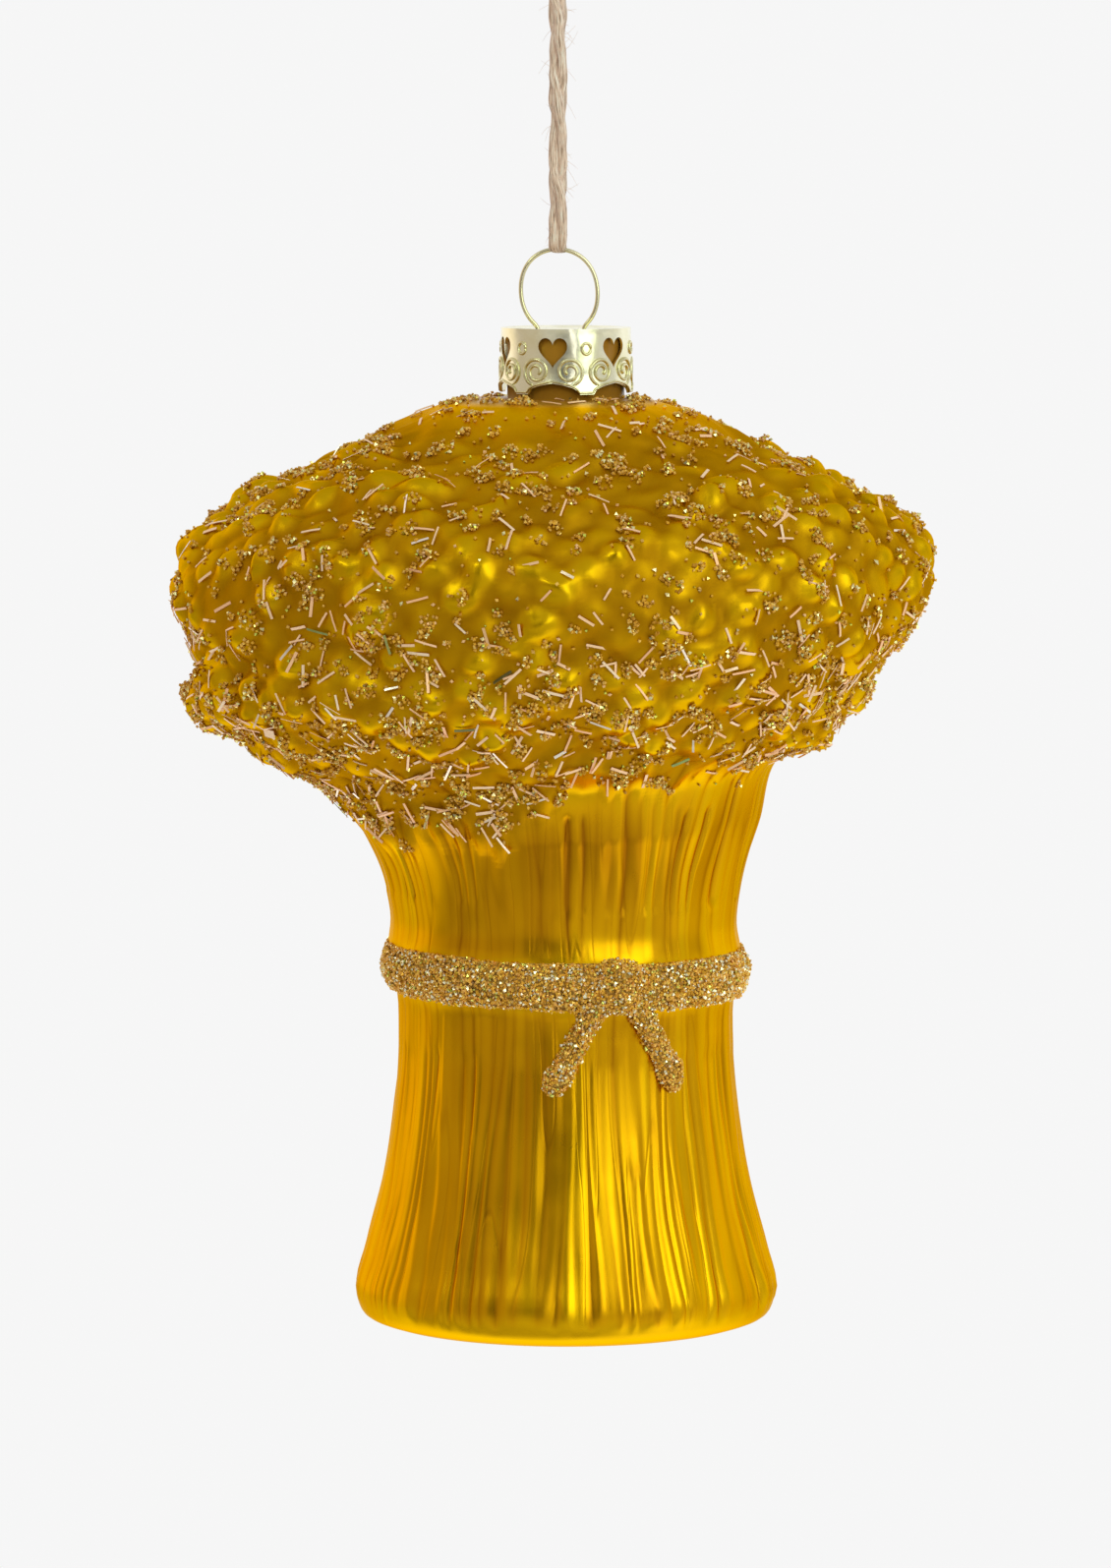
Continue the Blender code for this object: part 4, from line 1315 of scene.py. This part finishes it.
def lay_beads(name, places, lifts):
    """Beads dropped on the glass and lifted off it, each turned and sized by chance."""
    spots, ways = drop(head_tree, places)
    count = len(spots)
    tints = rng.random(count)
    sizes = BEAD * rng.uniform(0.7, 1.15, (count, 1)) * rng.uniform(0.85, 1.1, (count, 3))
    sizes[tints > SPARKLE] *= 1.25
    print(f"{name}: {count} beads")
    return many(name, bead, spots + ways * lifts[:, None], random_turns(count), sizes, tints)


head_tree = tree_of([glass])
clump_piece = lay_beads("head_clumps", *clump_beads())
loose, _ = scatter(head_corners, glued, LOOSE_BEADS)
loose_piece = lay_beads("head_beads", loose, np.full(len(loose), 0.5 * BEAD))

# %% [markdown]
# ### The glitter's finish
#
# Each grain is a chip of clear plastic that is coloured through, in gold, orange, beige or
# lemon, by its own random number. The last few are silvered, catch the lamps and look near
# white. The tie's glitter is made the same way from other colours.

# %% The glitter's finish
def glitter_nodes(add, stops, metal, roughness):
    """Nodes of the glitter; the last three colours are the silvered ones."""
    tint = stored(add, "tint")
    tone = ramp(add, tint, stops, "CONSTANT")
    shaded = {"Fac": 1.0, "Color1": tone, "Color2": clouds(add, 2600.0, 0.82, 1.0)}
    silvered = stops[-3][0]
    return {
        "Base Color": add("MixRGB", shaded, blend_type="MULTIPLY"),
        "Metallic": between(add, tint, silvered - 0.01, silvered, metal, 0.9, "LINEAR"),
        "Roughness": roughness,
        "Specular IOR Level": 0.20,
        "Specular Tint": (1.0, 0.74, 0.34, 1.0),
    }


HEAD_COLOURS = (
    (0.00, (0.60, 0.29, 0.03)),
    (0.24, (0.82, 0.44, 0.05)),
    (0.46, (0.76, 0.45, 0.11)),
    (0.62, (0.96, 0.60, 0.13)),
    (0.74, (0.96, 0.60, 0.30)),
    (0.80, (0.82, 0.92, 0.16)),
    (0.85, (1.00, 0.80, 0.28)),
    (SPARKLE, (1.00, 0.92, 0.46)),
)
HEAD_GLITTER = material("head glitter", glitter_nodes, HEAD_COLOURS, 0.0, 0.12)
finish_piece(clump_piece, "head_clumps", HEAD_GLITTER)
finish_piece(loose_piece, "head_beads", HEAD_GLITTER)

# %% [markdown]
# ## Tinsel on the head
#
# Short strips cut from copper-coloured foil lie among the beads, flat or with one end up. They
# are closest together in the lower half of the head.

# %% Tinsel on the head
STRIPS = 1250
STRIP_LENGTH = (0.0013, 0.0026)
STRIP_WIDTH = 0.00027
WIDE_STRIPS, WIDER = 0.994, 4.5  # a few strips, above this random number, are wider
FOIL = 0.00003  # half of the foil's thickness
STRIP_DENSITY = (0.064, 0.074, 0.084, 0.094), (1.6, 1.5, 0.8, 0.6)


def lay_strips(count):
    """Middle, directions and size of strips, each lying across the lumps that it spans."""
    middles, ways = scatter(head_corners, glued * np.interp(heights, *STRIP_DENSITY), count)
    lengths = rng.uniform(*STRIP_LENGTH, count)
    side = np.cross(ways, rng.normal(size=(count, 3)))
    side *= (lengths / 2 / np.linalg.norm(side, axis=1))[:, None]
    ahead, ahead_way = drop(head_tree, middles + side)
    behind, behind_way = drop(head_tree, middles - side)
    ways = unit(ahead_way + behind_way)
    middles = (ahead + behind) / 2
    spots, _ = drop(head_tree, middles)
    hump = np.clip(((spots - middles) * ways).sum(axis=1), 0.0, 0.0006)
    middles += ways * (hump + rng.uniform(0.00004, 0.00032, count))[:, None]
    slope = np.tan(np.radians(rng.normal(0, 7, count)))
    run = unit(ahead - behind + ways * (slope * lengths)[:, None])
    across = unit(np.cross(ways, run))
    roll = np.radians(rng.normal(0, 20, count))
    rolled = across * np.cos(roll)[:, None] + np.cross(run, across) * np.sin(roll)[:, None]
    turns = np.stack([run, rolled, np.cross(run, rolled)], axis=-1)
    widths = STRIP_WIDTH / 2 * rng.uniform(0.7, 1.2, count)
    widths[rng.random(count) > WIDE_STRIPS] *= WIDER
    return middles, turns, np.stack([lengths / 2, widths, np.full(count, FOIL)], axis=1)


tinsel = many("tinsel", strip, *lay_strips(STRIPS), rng.random(STRIPS))
outwards(tinsel)


def tinsel_nodes(add):
    tint = stored(add, "tint")
    return {
        "Base Color": ramp(add, tint, [
            (0.00, (0.10, 0.08, 0.02)),
            (0.01, (0.30, 0.42, 0.12)),
            (0.02, (1.00, 0.56, 0.31)),
            (0.30, (1.00, 0.64, 0.38)),
            (0.75, (1.00, 0.70, 0.46)),
            (0.92, (1.00, 0.80, 0.60)),
            (1.00, (1.00, 0.95, 0.88)),
        ]),
        "Metallic": between(add, tint, 0.93, 0.94, 0.20, 1.0, "LINEAR"),
        "Roughness": clouds(add, 1500.0, 0.26, 0.40),
    }


finish_piece(tinsel, "tinsel", material("copper tinsel", tinsel_nodes))

# %% [markdown]
# ## Glitter on the tie
#
# The band, the knot and the tails are covered all over with a finer glitter, grain against
# grain, in a coat that is lumpy as dried glue is.

# %% Glitter on the tie
TIE_SPOTS = 20925  # those that fall inside the glass are left out
TIE_BEAD = 0.000190  # radius
TIE_LUMPS, LUMP_SIZE = 0.00055, 0.0019  # rise and size of the lumps in the coat
TIE_REACH = 0.0183  # grains nearer to the axis lie inside the glass

on_band = np.abs(band_share(side_way, heights)) < 1.0
tie_parts = [head_corners[on_band], *(triangles_of(piece) for piece in (tie_knot, *tails))]
tie_corners = np.vstack(tie_parts)
spots, ways = scatter(tie_corners, np.ones(len(tie_corners)), TIE_SPOTS)
outside = np.hypot(spots[:, 0] - SHEAF_OFFSET, spots[:, 1]) > TIE_REACH
spots, ways = spots[outside], ways[outside]
count = len(spots)
lift = TIE_BEAD * rng.uniform(-0.3, 1.3, count)
lift += TIE_LUMPS * np.clip(swelling(spots, LUMP_SIZE), 0.0, 1.0)
sizes = TIE_BEAD * rng.uniform(0.65, 1.45, (count, 1)) * rng.uniform(0.85, 1.1, (count, 3))
tints = rng.random(count)
bright = tints > SPARKLE
sizes[bright] *= 1.10
lift[bright] += 0.6 * TIE_BEAD
places = spots + ways * lift[:, None]
tie_beads = many("tie_beads", bead, places, random_turns(count), sizes, tints)
TIE_COLOURS = (
    (0.00, (0.72, 0.38, 0.04)),
    (0.24, (0.98, 0.55, 0.08)),
    (0.48, (0.96, 0.55, 0.14)),
    (0.66, (1.00, 0.68, 0.14)),
    (0.81, (0.84, 0.90, 0.22)),
    (0.86, (1.00, 0.62, 0.26)),
    (SPARKLE, (1.00, 0.97, 0.72)),
)
TIE_GLITTER = material("tie glitter", glitter_nodes, TIE_COLOURS, 0.20, 0.16)
finish_piece(tie_beads, "tie_glitter", TIE_GLITTER)
print(f"{count} grains on the tie")

# %% [markdown]
# ### The glued ground
#
# The knot, the tails and the faces of the band wear what lies between the grains, so that no
# bare glass shines through the gaps: glue that has dried dull and sandy, gold-brown.

# %% The glued ground
def ground_nodes(add):
    grain = clouds(add, 3200.0, 0.0, 1.0)
    return {
        "Base Color": ramp(add, grain, [
            (0.0, (0.34, 0.19, 0.03)),
            (0.6, (0.58, 0.35, 0.06)),
            (1.0, (0.84, 0.54, 0.13)),
        ]),
        "Metallic": 0.3,
        "Roughness": 0.55,
        "Normal": add("Bump", {"Height": grain, "Strength": 0.8, "Distance": 0.0002}),
    }


GROUND = material("glued ground", ground_nodes)
ground_names = ("tie_knot_glass", "tie_tail_left_glass", "tie_tail_right_glass")
for piece, name in zip((tie_knot, *tails), ground_names):
    finish_piece(piece, name, GROUND, nodes=["glass_sheaf"])
glass.data.materials.append(GROUND)
face_middles = np.array([face.center for face in glass.data.polygons])
face_turns = np.arctan2(face_middles[:, 0] - SHEAF_OFFSET, -face_middles[:, 1])
banded = np.abs(band_share(face_turns, face_middles[:, 2] - FOOT_Z)) < 1.0
glass.data.polygons.foreach_set("material_index", banded.astype(np.int32))
print(f"{banded.sum()} faces of the glass wear the ground")

# %% [markdown]
# ## The tin cap
#
# A cup of thin tin with a rounded shoulder, pierced hearts, pressed rings and scrolls, and a
# scalloped edge. It starts as a cylinder. The hearts are cut with a Boolean, and the scrolls
# are curves laid round the wall, which is how pressed lines catch the light.

# %% The cap's cup
CAP_RADIUS = 0.0070
CAP_HEIGHT = 0.0070
CAP_Z = FOOT_Z + CAP_TOP
CAP_MIDDLE = np.array((SHEAF_OFFSET, 0.0, CAP_Z))  # of its top
TIN = 0.0003
LOBES = 6
LOBE_AZIMUTH = math.radians(18.0)  # of the lobe at the front right
LOBE_TURN = math.radians(7.0)  # half of the level edge of a lobe
SCALLOP = 0.0012  # depth of the notches between the lobes
SCALLOP_ROUND = 0.38
BULGE = 0.00010  # how far the lobes stand out at half height
LIP, LIP_START = 0.00016, 0.72  # how far the wall flares at its edge, and where that starts
RIDGES = ((0.035, 0.00010), (0.97, 0.00009))  # (level, rise) of the ridges round the wall
RIDGE_WIDTH = 0.03
SHOULDER = (  # (height, scale) of each ring from the wall's top to the middle
    (0.0, 0.985), (0.0, 0.955), (-0.00012, 0.93), (-0.00016, 0.90), (0.0, 0.55), (0.0, 0.25),
)

bpy.ops.object.select_all(action="DESELECT")
bpy.ops.mesh.primitive_cylinder_add(
    vertices=144, radius=CAP_RADIUS, depth=CAP_HEIGHT, end_fill_type="NOTHING",
    location=(SHEAF_OFFSET, 0.0, CAP_Z - CAP_HEIGHT / 2),
)
cap = bpy.context.object
settle(cap)
bpy.ops.object.mode_set(mode="EDIT")
bpy.ops.mesh.select_mode(type="VERT")
edge_ring(cap, CAP_Z, 1.0)
close_with(*SHOULDER)
for share in np.linspace(0.08, 0.92, 14):
    level = CAP_Z - CAP_HEIGHT * share
    bpy.ops.mesh.select_all(action="SELECT")
    bpy.ops.mesh.bisect(plane_co=(0.0, 0.0, level), plane_no=(0.0, 0.0, 1.0))
bpy.ops.object.mode_set(mode="OBJECT")


def notch_at(turn):
    """Share of a notch's depth at an azimuth: 0 on the level edge of a lobe, 1 between two."""
    half_lobe = math.pi / LOBES
    off = np.abs((turn - LOBE_AZIMUTH + half_lobe) % (2 * half_lobe) - half_lobe)
    return np.clip((off - LOBE_TURN) / (half_lobe - LOBE_TURN), 0.0, 1.0) ** SCALLOP_ROUND


def bulge_at(turn, down):
    """How far the wall stands out at an azimuth, `down` from 0 at its top to 1 at its edge."""
    return BULGE * np.cos(LOBES * (turn - LOBE_AZIMUTH)) * np.sin(np.clip(down, 0, 1) * math.pi)


def bead_at(down, level):
    """A narrow ridge round the wall."""
    return np.exp(-(((down - level) / RIDGE_WIDTH) ** 2))


cup = points_of(cap)
turn = np.arctan2(cup[:, 0] - SHEAF_OFFSET, -cup[:, 1])
down = (CAP_Z - cup[:, 2]) / CAP_HEIGHT
cup[:, 2] += SCALLOP * notch_at(turn) * np.clip(down, 0, 1) ** 2
wall = np.hypot(cup[:, 0] - SHEAF_OFFSET, cup[:, 1]) > 0.9 * CAP_RADIUS
flare = LIP * np.clip((down - LIP_START) / (1 - LIP_START), 0, 1) + bulge_at(turn, down)
for level, rise in RIDGES:
    flare += rise * bead_at(down, level)
push = 1 + np.where(wall, flare / CAP_RADIUS, 0.0)
cup[:, 0] = SHEAF_OFFSET + (cup[:, 0] - SHEAF_OFFSET) * push
cup[:, 1] *= push
move_points(cap, cup)
outwards(cap)
thicken = cap.modifiers.new("tin", "SOLIDIFY")
thicken.thickness = TIN
thicken.offset = -1.0
bpy.ops.object.modifier_apply(modifier=thicken.name)
print(f"the cup has {len(cap.data.polygons)} faces")

# %% [markdown]
# ### The hearts and the wire's holes
#
# A heart is pierced above every notch. Its cutter is a short heart-shaped bar that goes through
# the wall, and the two holes for the wire are cut with cylinders.

# %% The hearts and the wire's holes
HEART_WIDTH = 0.0032
HEART_HEIGHT = 0.0033
HEART_DROP = 0.0026
HEART_POINTS = 40
WIRE = 0.00048  # thickness
HOLE_GAP = 0.0003
LEG_PITCH = 0.00255  # of a leg of the wire from the ring's middle
RING_SHIFT = -0.00055


def heart_outline():
    """Points of a heart: sideways and upwards of its middle."""
    turn = TWO_PI * np.arange(HEART_POINTS) / HEART_POINTS
    across = np.sin(turn) ** 3
    up = (13 * np.cos(turn) - 5 * np.cos(2 * turn) - 2 * np.cos(3 * turn) - np.cos(4 * turn)) / 16
    up = (up - up.min()) / (up.max() - up.min()) - 0.5
    return np.stack([across * HEART_WIDTH / 2, up * HEART_HEIGHT], axis=1)


def cut(target, cutter):
    """Cuts one piece with another and removes the cutter."""
    only(target)
    step = target.modifiers.new("cut", "BOOLEAN")
    step.operation = "DIFFERENCE"
    step.object = cutter
    bpy.ops.object.modifier_apply(modifier=step.name)
    bpy.data.objects.remove(cutter)


def ways_at(turn):
    """The ways out of the cap and to the right, at an azimuth."""
    out = np.array([math.sin(turn), -math.cos(turn), 0.0])
    right = np.array([math.cos(turn), math.sin(turn), 0.0])
    return out, right


UP = np.array((0.0, 0.0, 1.0))
across, up = heart_outline().T
n = HEART_POINTS
heart_faces = [(i, (i + 1) % n, n + (i + 1) % n, n + i) for i in range(n)]
heart_faces += [tuple(range(n)), tuple(range(n, 2 * n))]
for k in range(LOBES):
    out, right = ways_at(LOBE_AZIMUTH + TWO_PI * (k + 0.5) / LOBES)
    shape = CAP_MIDDLE - HEART_DROP * UP + np.outer(across, right) + np.outer(up, UP)
    rings = [shape + out * reach * CAP_RADIUS for reach in (0.8, 1.2)]
    heart = mesh_piece("heart", np.vstack(rings), heart_faces)
    outwards(heart)
    cut(cap, heart)
for side in (-1, 1):
    bpy.ops.object.select_all(action="DESELECT")
    bpy.ops.mesh.primitive_cylinder_add(
        vertices=24, radius=WIRE / 2 + HOLE_GAP, depth=8 * TIN,
        location=(SHEAF_OFFSET + RING_SHIFT + side * LEG_PITCH, 0.0, CAP_Z),
    )
    hole = bpy.context.object
    settle(hole)
    cut(cap, hole)
only(cap)
bpy.ops.object.shade_smooth_by_angle(angle=math.radians(35))
print(f"the pierced cap has {len(cap.data.polygons)} faces")

# %% [markdown]
# ### The pressed rings and scrolls
#
# Each lobe has a small ring with a scroll on either side of its foot, and a bead runs along
# the scalloped edge. They are round tubes along lines on the wall, half sunk in it.

# %% The pressed rings and scrolls
RING_DROP, RING_ACROSS, RING_UP, RING_LINE = 0.0021, 0.00050, 0.00060, 0.00017
SCROLL_DROP, SCROLL_ACROSS, SCROLL_LINE = 0.00455, 0.00183, 0.00019
SCROLL_TURNS, SCROLL_START = 1.85, -0.9
SCROLL_SMALL, SCROLL_LARGE = 0.00030, 0.00152  # its radius at its inner and its outer end
EDGE_UP, EDGE_LINE = 0.00018, 0.00013


def wall_point(turn, height, lift):
    """A point on the cap's wall, at a height below its top."""
    out, _ = ways_at(turn)
    reach = CAP_RADIUS + bulge_at(turn, -height / CAP_HEIGHT) + lift
    return CAP_MIDDLE + height * UP + out * reach


def pressed_line(points, radius, ends=0.6):
    """A raised line on the wall: a tube that is thinner at its ends."""
    radii = np.full(len(points), radius)
    radii[[0, -1]] = ends * radius
    return tube_mesh(np.array(points), radii, 8)


pressed_parts = []
for k in range(LOBES):
    lobe_turn = LOBE_AZIMUTH + TWO_PI * k / LOBES
    circle = []
    for t in np.linspace(0, TWO_PI, 25):
        turn = lobe_turn + RING_ACROSS * math.cos(t) / CAP_RADIUS
        circle.append(wall_point(turn, -RING_DROP + RING_UP * math.sin(t), 0.00003))
    pressed_parts.append(pressed_line(circle, RING_LINE))
    for side in (-1, 1):
        scroll = []
        for t in np.linspace(0.0, 1.0, 60):
            spin = SCROLL_START + SCROLL_TURNS * TWO_PI * (1 - t)
            reach = SCROLL_SMALL + (SCROLL_LARGE - SCROLL_SMALL) * (1 - t) ** 0.85
            turn = lobe_turn + side * (SCROLL_ACROSS + reach * math.cos(spin)) / CAP_RADIUS
            scroll.append(wall_point(turn, -SCROLL_DROP + reach * math.sin(spin), 0.00004))
        pressed_parts.append(pressed_line(scroll, SCROLL_LINE))
edge = []
for turn in np.linspace(0, TWO_PI, 181):
    edge.append(wall_point(turn, -CAP_HEIGHT + SCALLOP * notch_at(turn) + EDGE_UP, SCROLL_LINE))
pressed_parts.append(pressed_line(edge, EDGE_LINE, ends=1.0))
points, faces, _ = joined(pressed_parts)
pressed = mesh_piece("pressed", points, faces)
outwards(pressed)
smooth(pressed)

# %% [markdown]
# ### The tin's finish
#
# Thin tinplate with a pale gold lacquer: a bright metal with small dents. The pressed lines
# are a darker, duller tone of it, which is painted shade for their shaded sides.

# %% The tin's finish
def metal_nodes(add, tones, dark, light, gloss, dented=False):
    """Pale metal. `tones` and `gloss` start with their patches per metre."""
    place = add("TexCoord", out="Object")
    dents = add("TexNoise", {"Vector": place, "Scale": 700.0, "Detail": 1.0})
    dents = {"Height": dents, "Strength": 0.25, "Distance": 0.0002}
    return {
        "Base Color": ramp(add, clouds(add, tones, 0.0, 1.0), ((0.0, dark), (1.0, light))),
        "Metallic": 1.0,
        "Roughness": clouds(add, *gloss),
        **({"Normal": add("Bump", dents)} if dented else {}),
    }


BRIGHT_TIN = (350.0, (0.92, 0.88, 0.58), (1.00, 0.98, 0.76), (500.0, 0.16, 0.26), True)
# Painted shade: the pressed lines wear a darker tone of the tin.
SHADED_LINE_TIN = (900.0, (0.60, 0.55, 0.28), (0.90, 0.86, 0.56), (500.0, 0.22, 0.34))
TINPLATE = material("pale gold tin", metal_nodes, *BRIGHT_TIN)
finish_piece(cap, "tin_cap", TINPLATE, nodes=["cap"])
PRESSED_TIN = material("pressed tin", metal_nodes, *SHADED_LINE_TIN)
finish_piece(pressed, "cap_scrolls", PRESSED_TIN)

# %% [markdown]
# ## The hanging ring
#
# One piece of spring wire: a loop above the cap, and two legs that go through its holes and
# press outwards in the glass neck. A tube along a smooth line gives it true round metal.

# %% The hanging ring
RING_HALF_WIDTH = 0.00414
RING_HALF_HEIGHT = 0.00455
RING_RISE = 0.00385  # of its middle over the cap
RING_ROUND = 2.15  # 2 is an ellipse, more is squarer
RING_LEAN = -0.000165
RING_POINTS, RING_SIDES = 150, 14
LEG_DEPTH = 0.0130
LEG_KINK = 0.0006
LEG_SETTLE = 0.0050  # depth at which the legs have found the neck's middle
BORE_RADIUS = 0.00525

grip = BORE_RADIUS - WIRE / 2 - HOLE_GAP
half = [(LEG_PITCH + (grip - LEG_PITCH) * s**1.6, -LEG_DEPTH * s) for s in (1.0, 0.55, 0.2, 0.0)]
foot = math.asin(LEG_PITCH / RING_HALF_WIDTH)
for turn in np.linspace(math.pi - 0.8 * foot, 0.0, 15)[1:]:
    out = RING_HALF_WIDTH * abs(math.sin(turn)) ** (2 / RING_ROUND)
    up = RING_HALF_HEIGHT * math.copysign(abs(math.cos(turn)) ** (2 / RING_ROUND), math.cos(turn))
    if RING_RISE + up > LEG_KINK:
        half.append((out, RING_RISE + up))
whole = [(-out, up) for out, up in half[:-1]] + [(0.0, half[-1][1])] + half[-2::-1]
ring_line = []
for sideways, up in evenly(whole, RING_POINTS):
    lean = RING_SHIFT * min(1.0, max(0.0, 1 + up / LEG_SETTLE))
    lean += RING_LEAN * max(0.0, up) / RING_RISE
    ring_line.append((SHEAF_OFFSET + sideways + lean, 0.0, CAP_Z + up))
points, faces, _ = tube_mesh(np.array(ring_line), np.full(RING_POINTS, WIRE / 2), RING_SIDES)
ring = mesh_piece("ring", points, faces)
outwards(ring)
smooth(ring)
DRAWN_WIRE = (160.0, (0.66, 0.60, 0.36), (0.86, 0.80, 0.54), (200.0, 0.14, 0.20))
WIRE_FINISH = material("pale gold wire", metal_nodes, *DRAWN_WIRE)
finish_piece(ring, "wire_ring", WIRE_FINISH, nodes=["hanging_ring"])

# %% Remove the models that were only copied
for helper in (bead, strip):
    bpy.data.objects.remove(helper)

# %% [markdown]
# ## Floor, light and surroundings
#
# The floor is a plain pale disc far below the hanging ornament, which glows with painted light.
# Polished things show what they reflect, so the surroundings matter as much as the lamps: white
# behind and below, a darker room where the camera stands, and a large soft light at the front
# right.

# %% The floor
FLOOR_DROP = 0.42
PALE = (0.923, 0.923, 0.923)  # the photograph's background

bpy.ops.object.select_all(action="DESELECT")
bpy.ops.mesh.primitive_circle_add(
    vertices=96, radius=3.0, fill_type="NGON", location=(0.0, 0.0, -FLOOR_DROP)
)
floor = bpy.context.object
floor.name = "floor"
settle(floor)


def glowing_floor_nodes(add):
    """The floor as the ornament reflects it: it glows with painted light, bright behind and at the
    right, dark in front.
    """
    place = add("TexCoord", out="Object")
    x, y = (add("SeparateXYZ", {0: place}, out=axis) for axis in "XY")
    far = add("VectorMath", {0: place}, out="Value", operation="LENGTH")
    # Painted light: the floor's glow is brightest behind and at the right, more near the middle,
    # and dim far in front.
    bright = between(add, reckon(add, "MULTIPLY_ADD", x, 0.30, y), -0.25, -0.07, 0.0, 0.90)
    near = between(add, far, 0.48, 0.75, 1.0, 0.45, "LINEAR")
    front = between(add, y, -0.50, -0.30, 0.19, 0.0)
    return {
        "Base Color": (0.52, 0.50, 0.47, 1.0),
        "Roughness": 0.9,
        "Emission Strength": reckon(add, "MULTIPLY_ADD", bright, near, front),
        "Emission Color": (1.0, 1.0, 1.0, 1.0),
    }


GLOWING_FLOOR = material("pale floor", glowing_floor_nodes)
nodes = GLOWING_FLOOR.node_tree.nodes
add = adder(GLOWING_FLOOR.node_tree)
plain_white = add("Emission", {"Color": (*PALE, 1.0), "Strength": 1.0})
lit = nodes["Principled BSDF"].outputs[0]
seen = add("MixShader", {0: add("LightPath", out="Is Camera Ray"), 1: lit, 2: plain_white})
set_inputs(GLOWING_FLOOR.node_tree, nodes["Material Output"], {"Surface": seen})
floor.data.materials.append(GLOWING_FLOOR)

print(f"the floor lies {FLOOR_DROP} m down")

# %% [markdown]
# ### The surroundings
#
# The sky is built from soft steps along the three axes, each a wall or a ceiling of its own
# brightness. The camera itself sees only the plain background.

# %% The surroundings
ROOM = 0.35  # brightness of the dim side of the room
BACKDROP = 0.60  # what the white backdrop adds behind the ornament
RIGHT_WALL = 0.26  # what the bright right side adds
LEFT_WALL = 0.15  # and the left side
CEILING = 0.24  # and what hangs over it
CAMERA_SIDE = -0.21  # what the dark side round the camera takes away
WARM = (1.0, 0.86, 0.72, 1.0)  # tint of what stands on the left
WHITE = (1.0, 1.0, 1.0, 1.0)

world = bpy.data.worlds.new("studio")
bpy.context.scene.world = world
world.use_nodes = True
sky = world.node_tree
sky.nodes.clear()
add = adder(sky)
direction = add("TexCoord", out="Generated")
x, y, z = (add("SeparateXYZ", {0: direction}, out=axis) for axis in "XYZ")
behind = between(add, y, 0.02, 0.55, 0.0, BACKDROP)
below_ceiling = between(add, z, 0.35, 0.70, 1.0, 0.0)
rightwards = between(add, x, -0.05, 0.70, 0.0, RIGHT_WALL)
in_front = between(add, y, 0.10, 0.70, 1.0, 0.0)
camera_side = between(add, y, -0.98, -0.82, CAMERA_SIDE, 0.0)
above_floor = between(add, z, -0.16, 0.04, 0.0, 1.0)
level = reckon(add, "ADD", between(add, x, -0.80, -0.20, LEFT_WALL, 0.0), ROOM)
level = reckon(add, "ADD", between(add, z, 0.25, 0.80, 0.0, CEILING), level)
level = reckon(add, "MULTIPLY_ADD", behind, below_ceiling, level)
level = reckon(add, "MULTIPLY_ADD", rightwards, in_front, level)
level = reckon(add, "MULTIPLY_ADD", camera_side, above_floor, level)
leftwards = between(add, x, -0.85, -0.10, 1.0, 0.0)
tint = add("MixRGB", {"Fac": leftwards, "Color1": WHITE, "Color2": WARM})
reflected = add("Background", {"Color": tint, "Strength": level})
background = add("Background", {"Color": (*PALE, 1.0)})
seen = add("MixShader", {0: add("LightPath", out="Is Camera Ray"), 1: reflected, 2: background})
set_inputs(sky, sky.nodes.new("ShaderNodeOutputWorld"), {"Surface": seen})
print(f"the sky has {len(sky.nodes)} nodes")

# %% [markdown]
# ### The lights
#
# A large window at the front right makes the broad highlight, a strip lights the left edge,
# and a narrow one draws the bright line down the middle.

# %% The lights
KEY_COLOUR = (0.85, 1.0, 0.72)  # window light, a little green beside the room's own
LIGHT_DISTANCE = 1.2


def soft_light(name, azimuth, rise, size, power, colour=(1.0, 1.0, 1.0)):
    """A soft rectangular light that faces the ornament's middle, placed by two angles."""
    turn, up = math.radians(azimuth), math.radians(rise)
    way = Vector((math.sin(turn) * math.cos(up), -math.cos(turn) * math.cos(up), math.sin(up)))
    data = bpy.data.lights.new(name, "AREA")
    data.shape = "RECTANGLE"
    data.size, data.size_y = size
    data.energy = power
    data.color = colour
    lamp = bpy.data.objects.new(name, data)
    bpy.context.scene.collection.objects.link(lamp)
    lamp.location = AIM + way * LIGHT_DISTANCE
    lamp.rotation_euler = (-way).to_track_quat("-Z", "Y").to_euler()


soft_light("key", 37, 20, (0.78, 0.85), 3.9, KEY_COLOUR)
soft_light("left strip", -40, 34, (0.50, 0.20), 1.2, KEY_COLOUR)
soft_light("window's edge", 9, 12, (0.10, 0.80), 0.5)
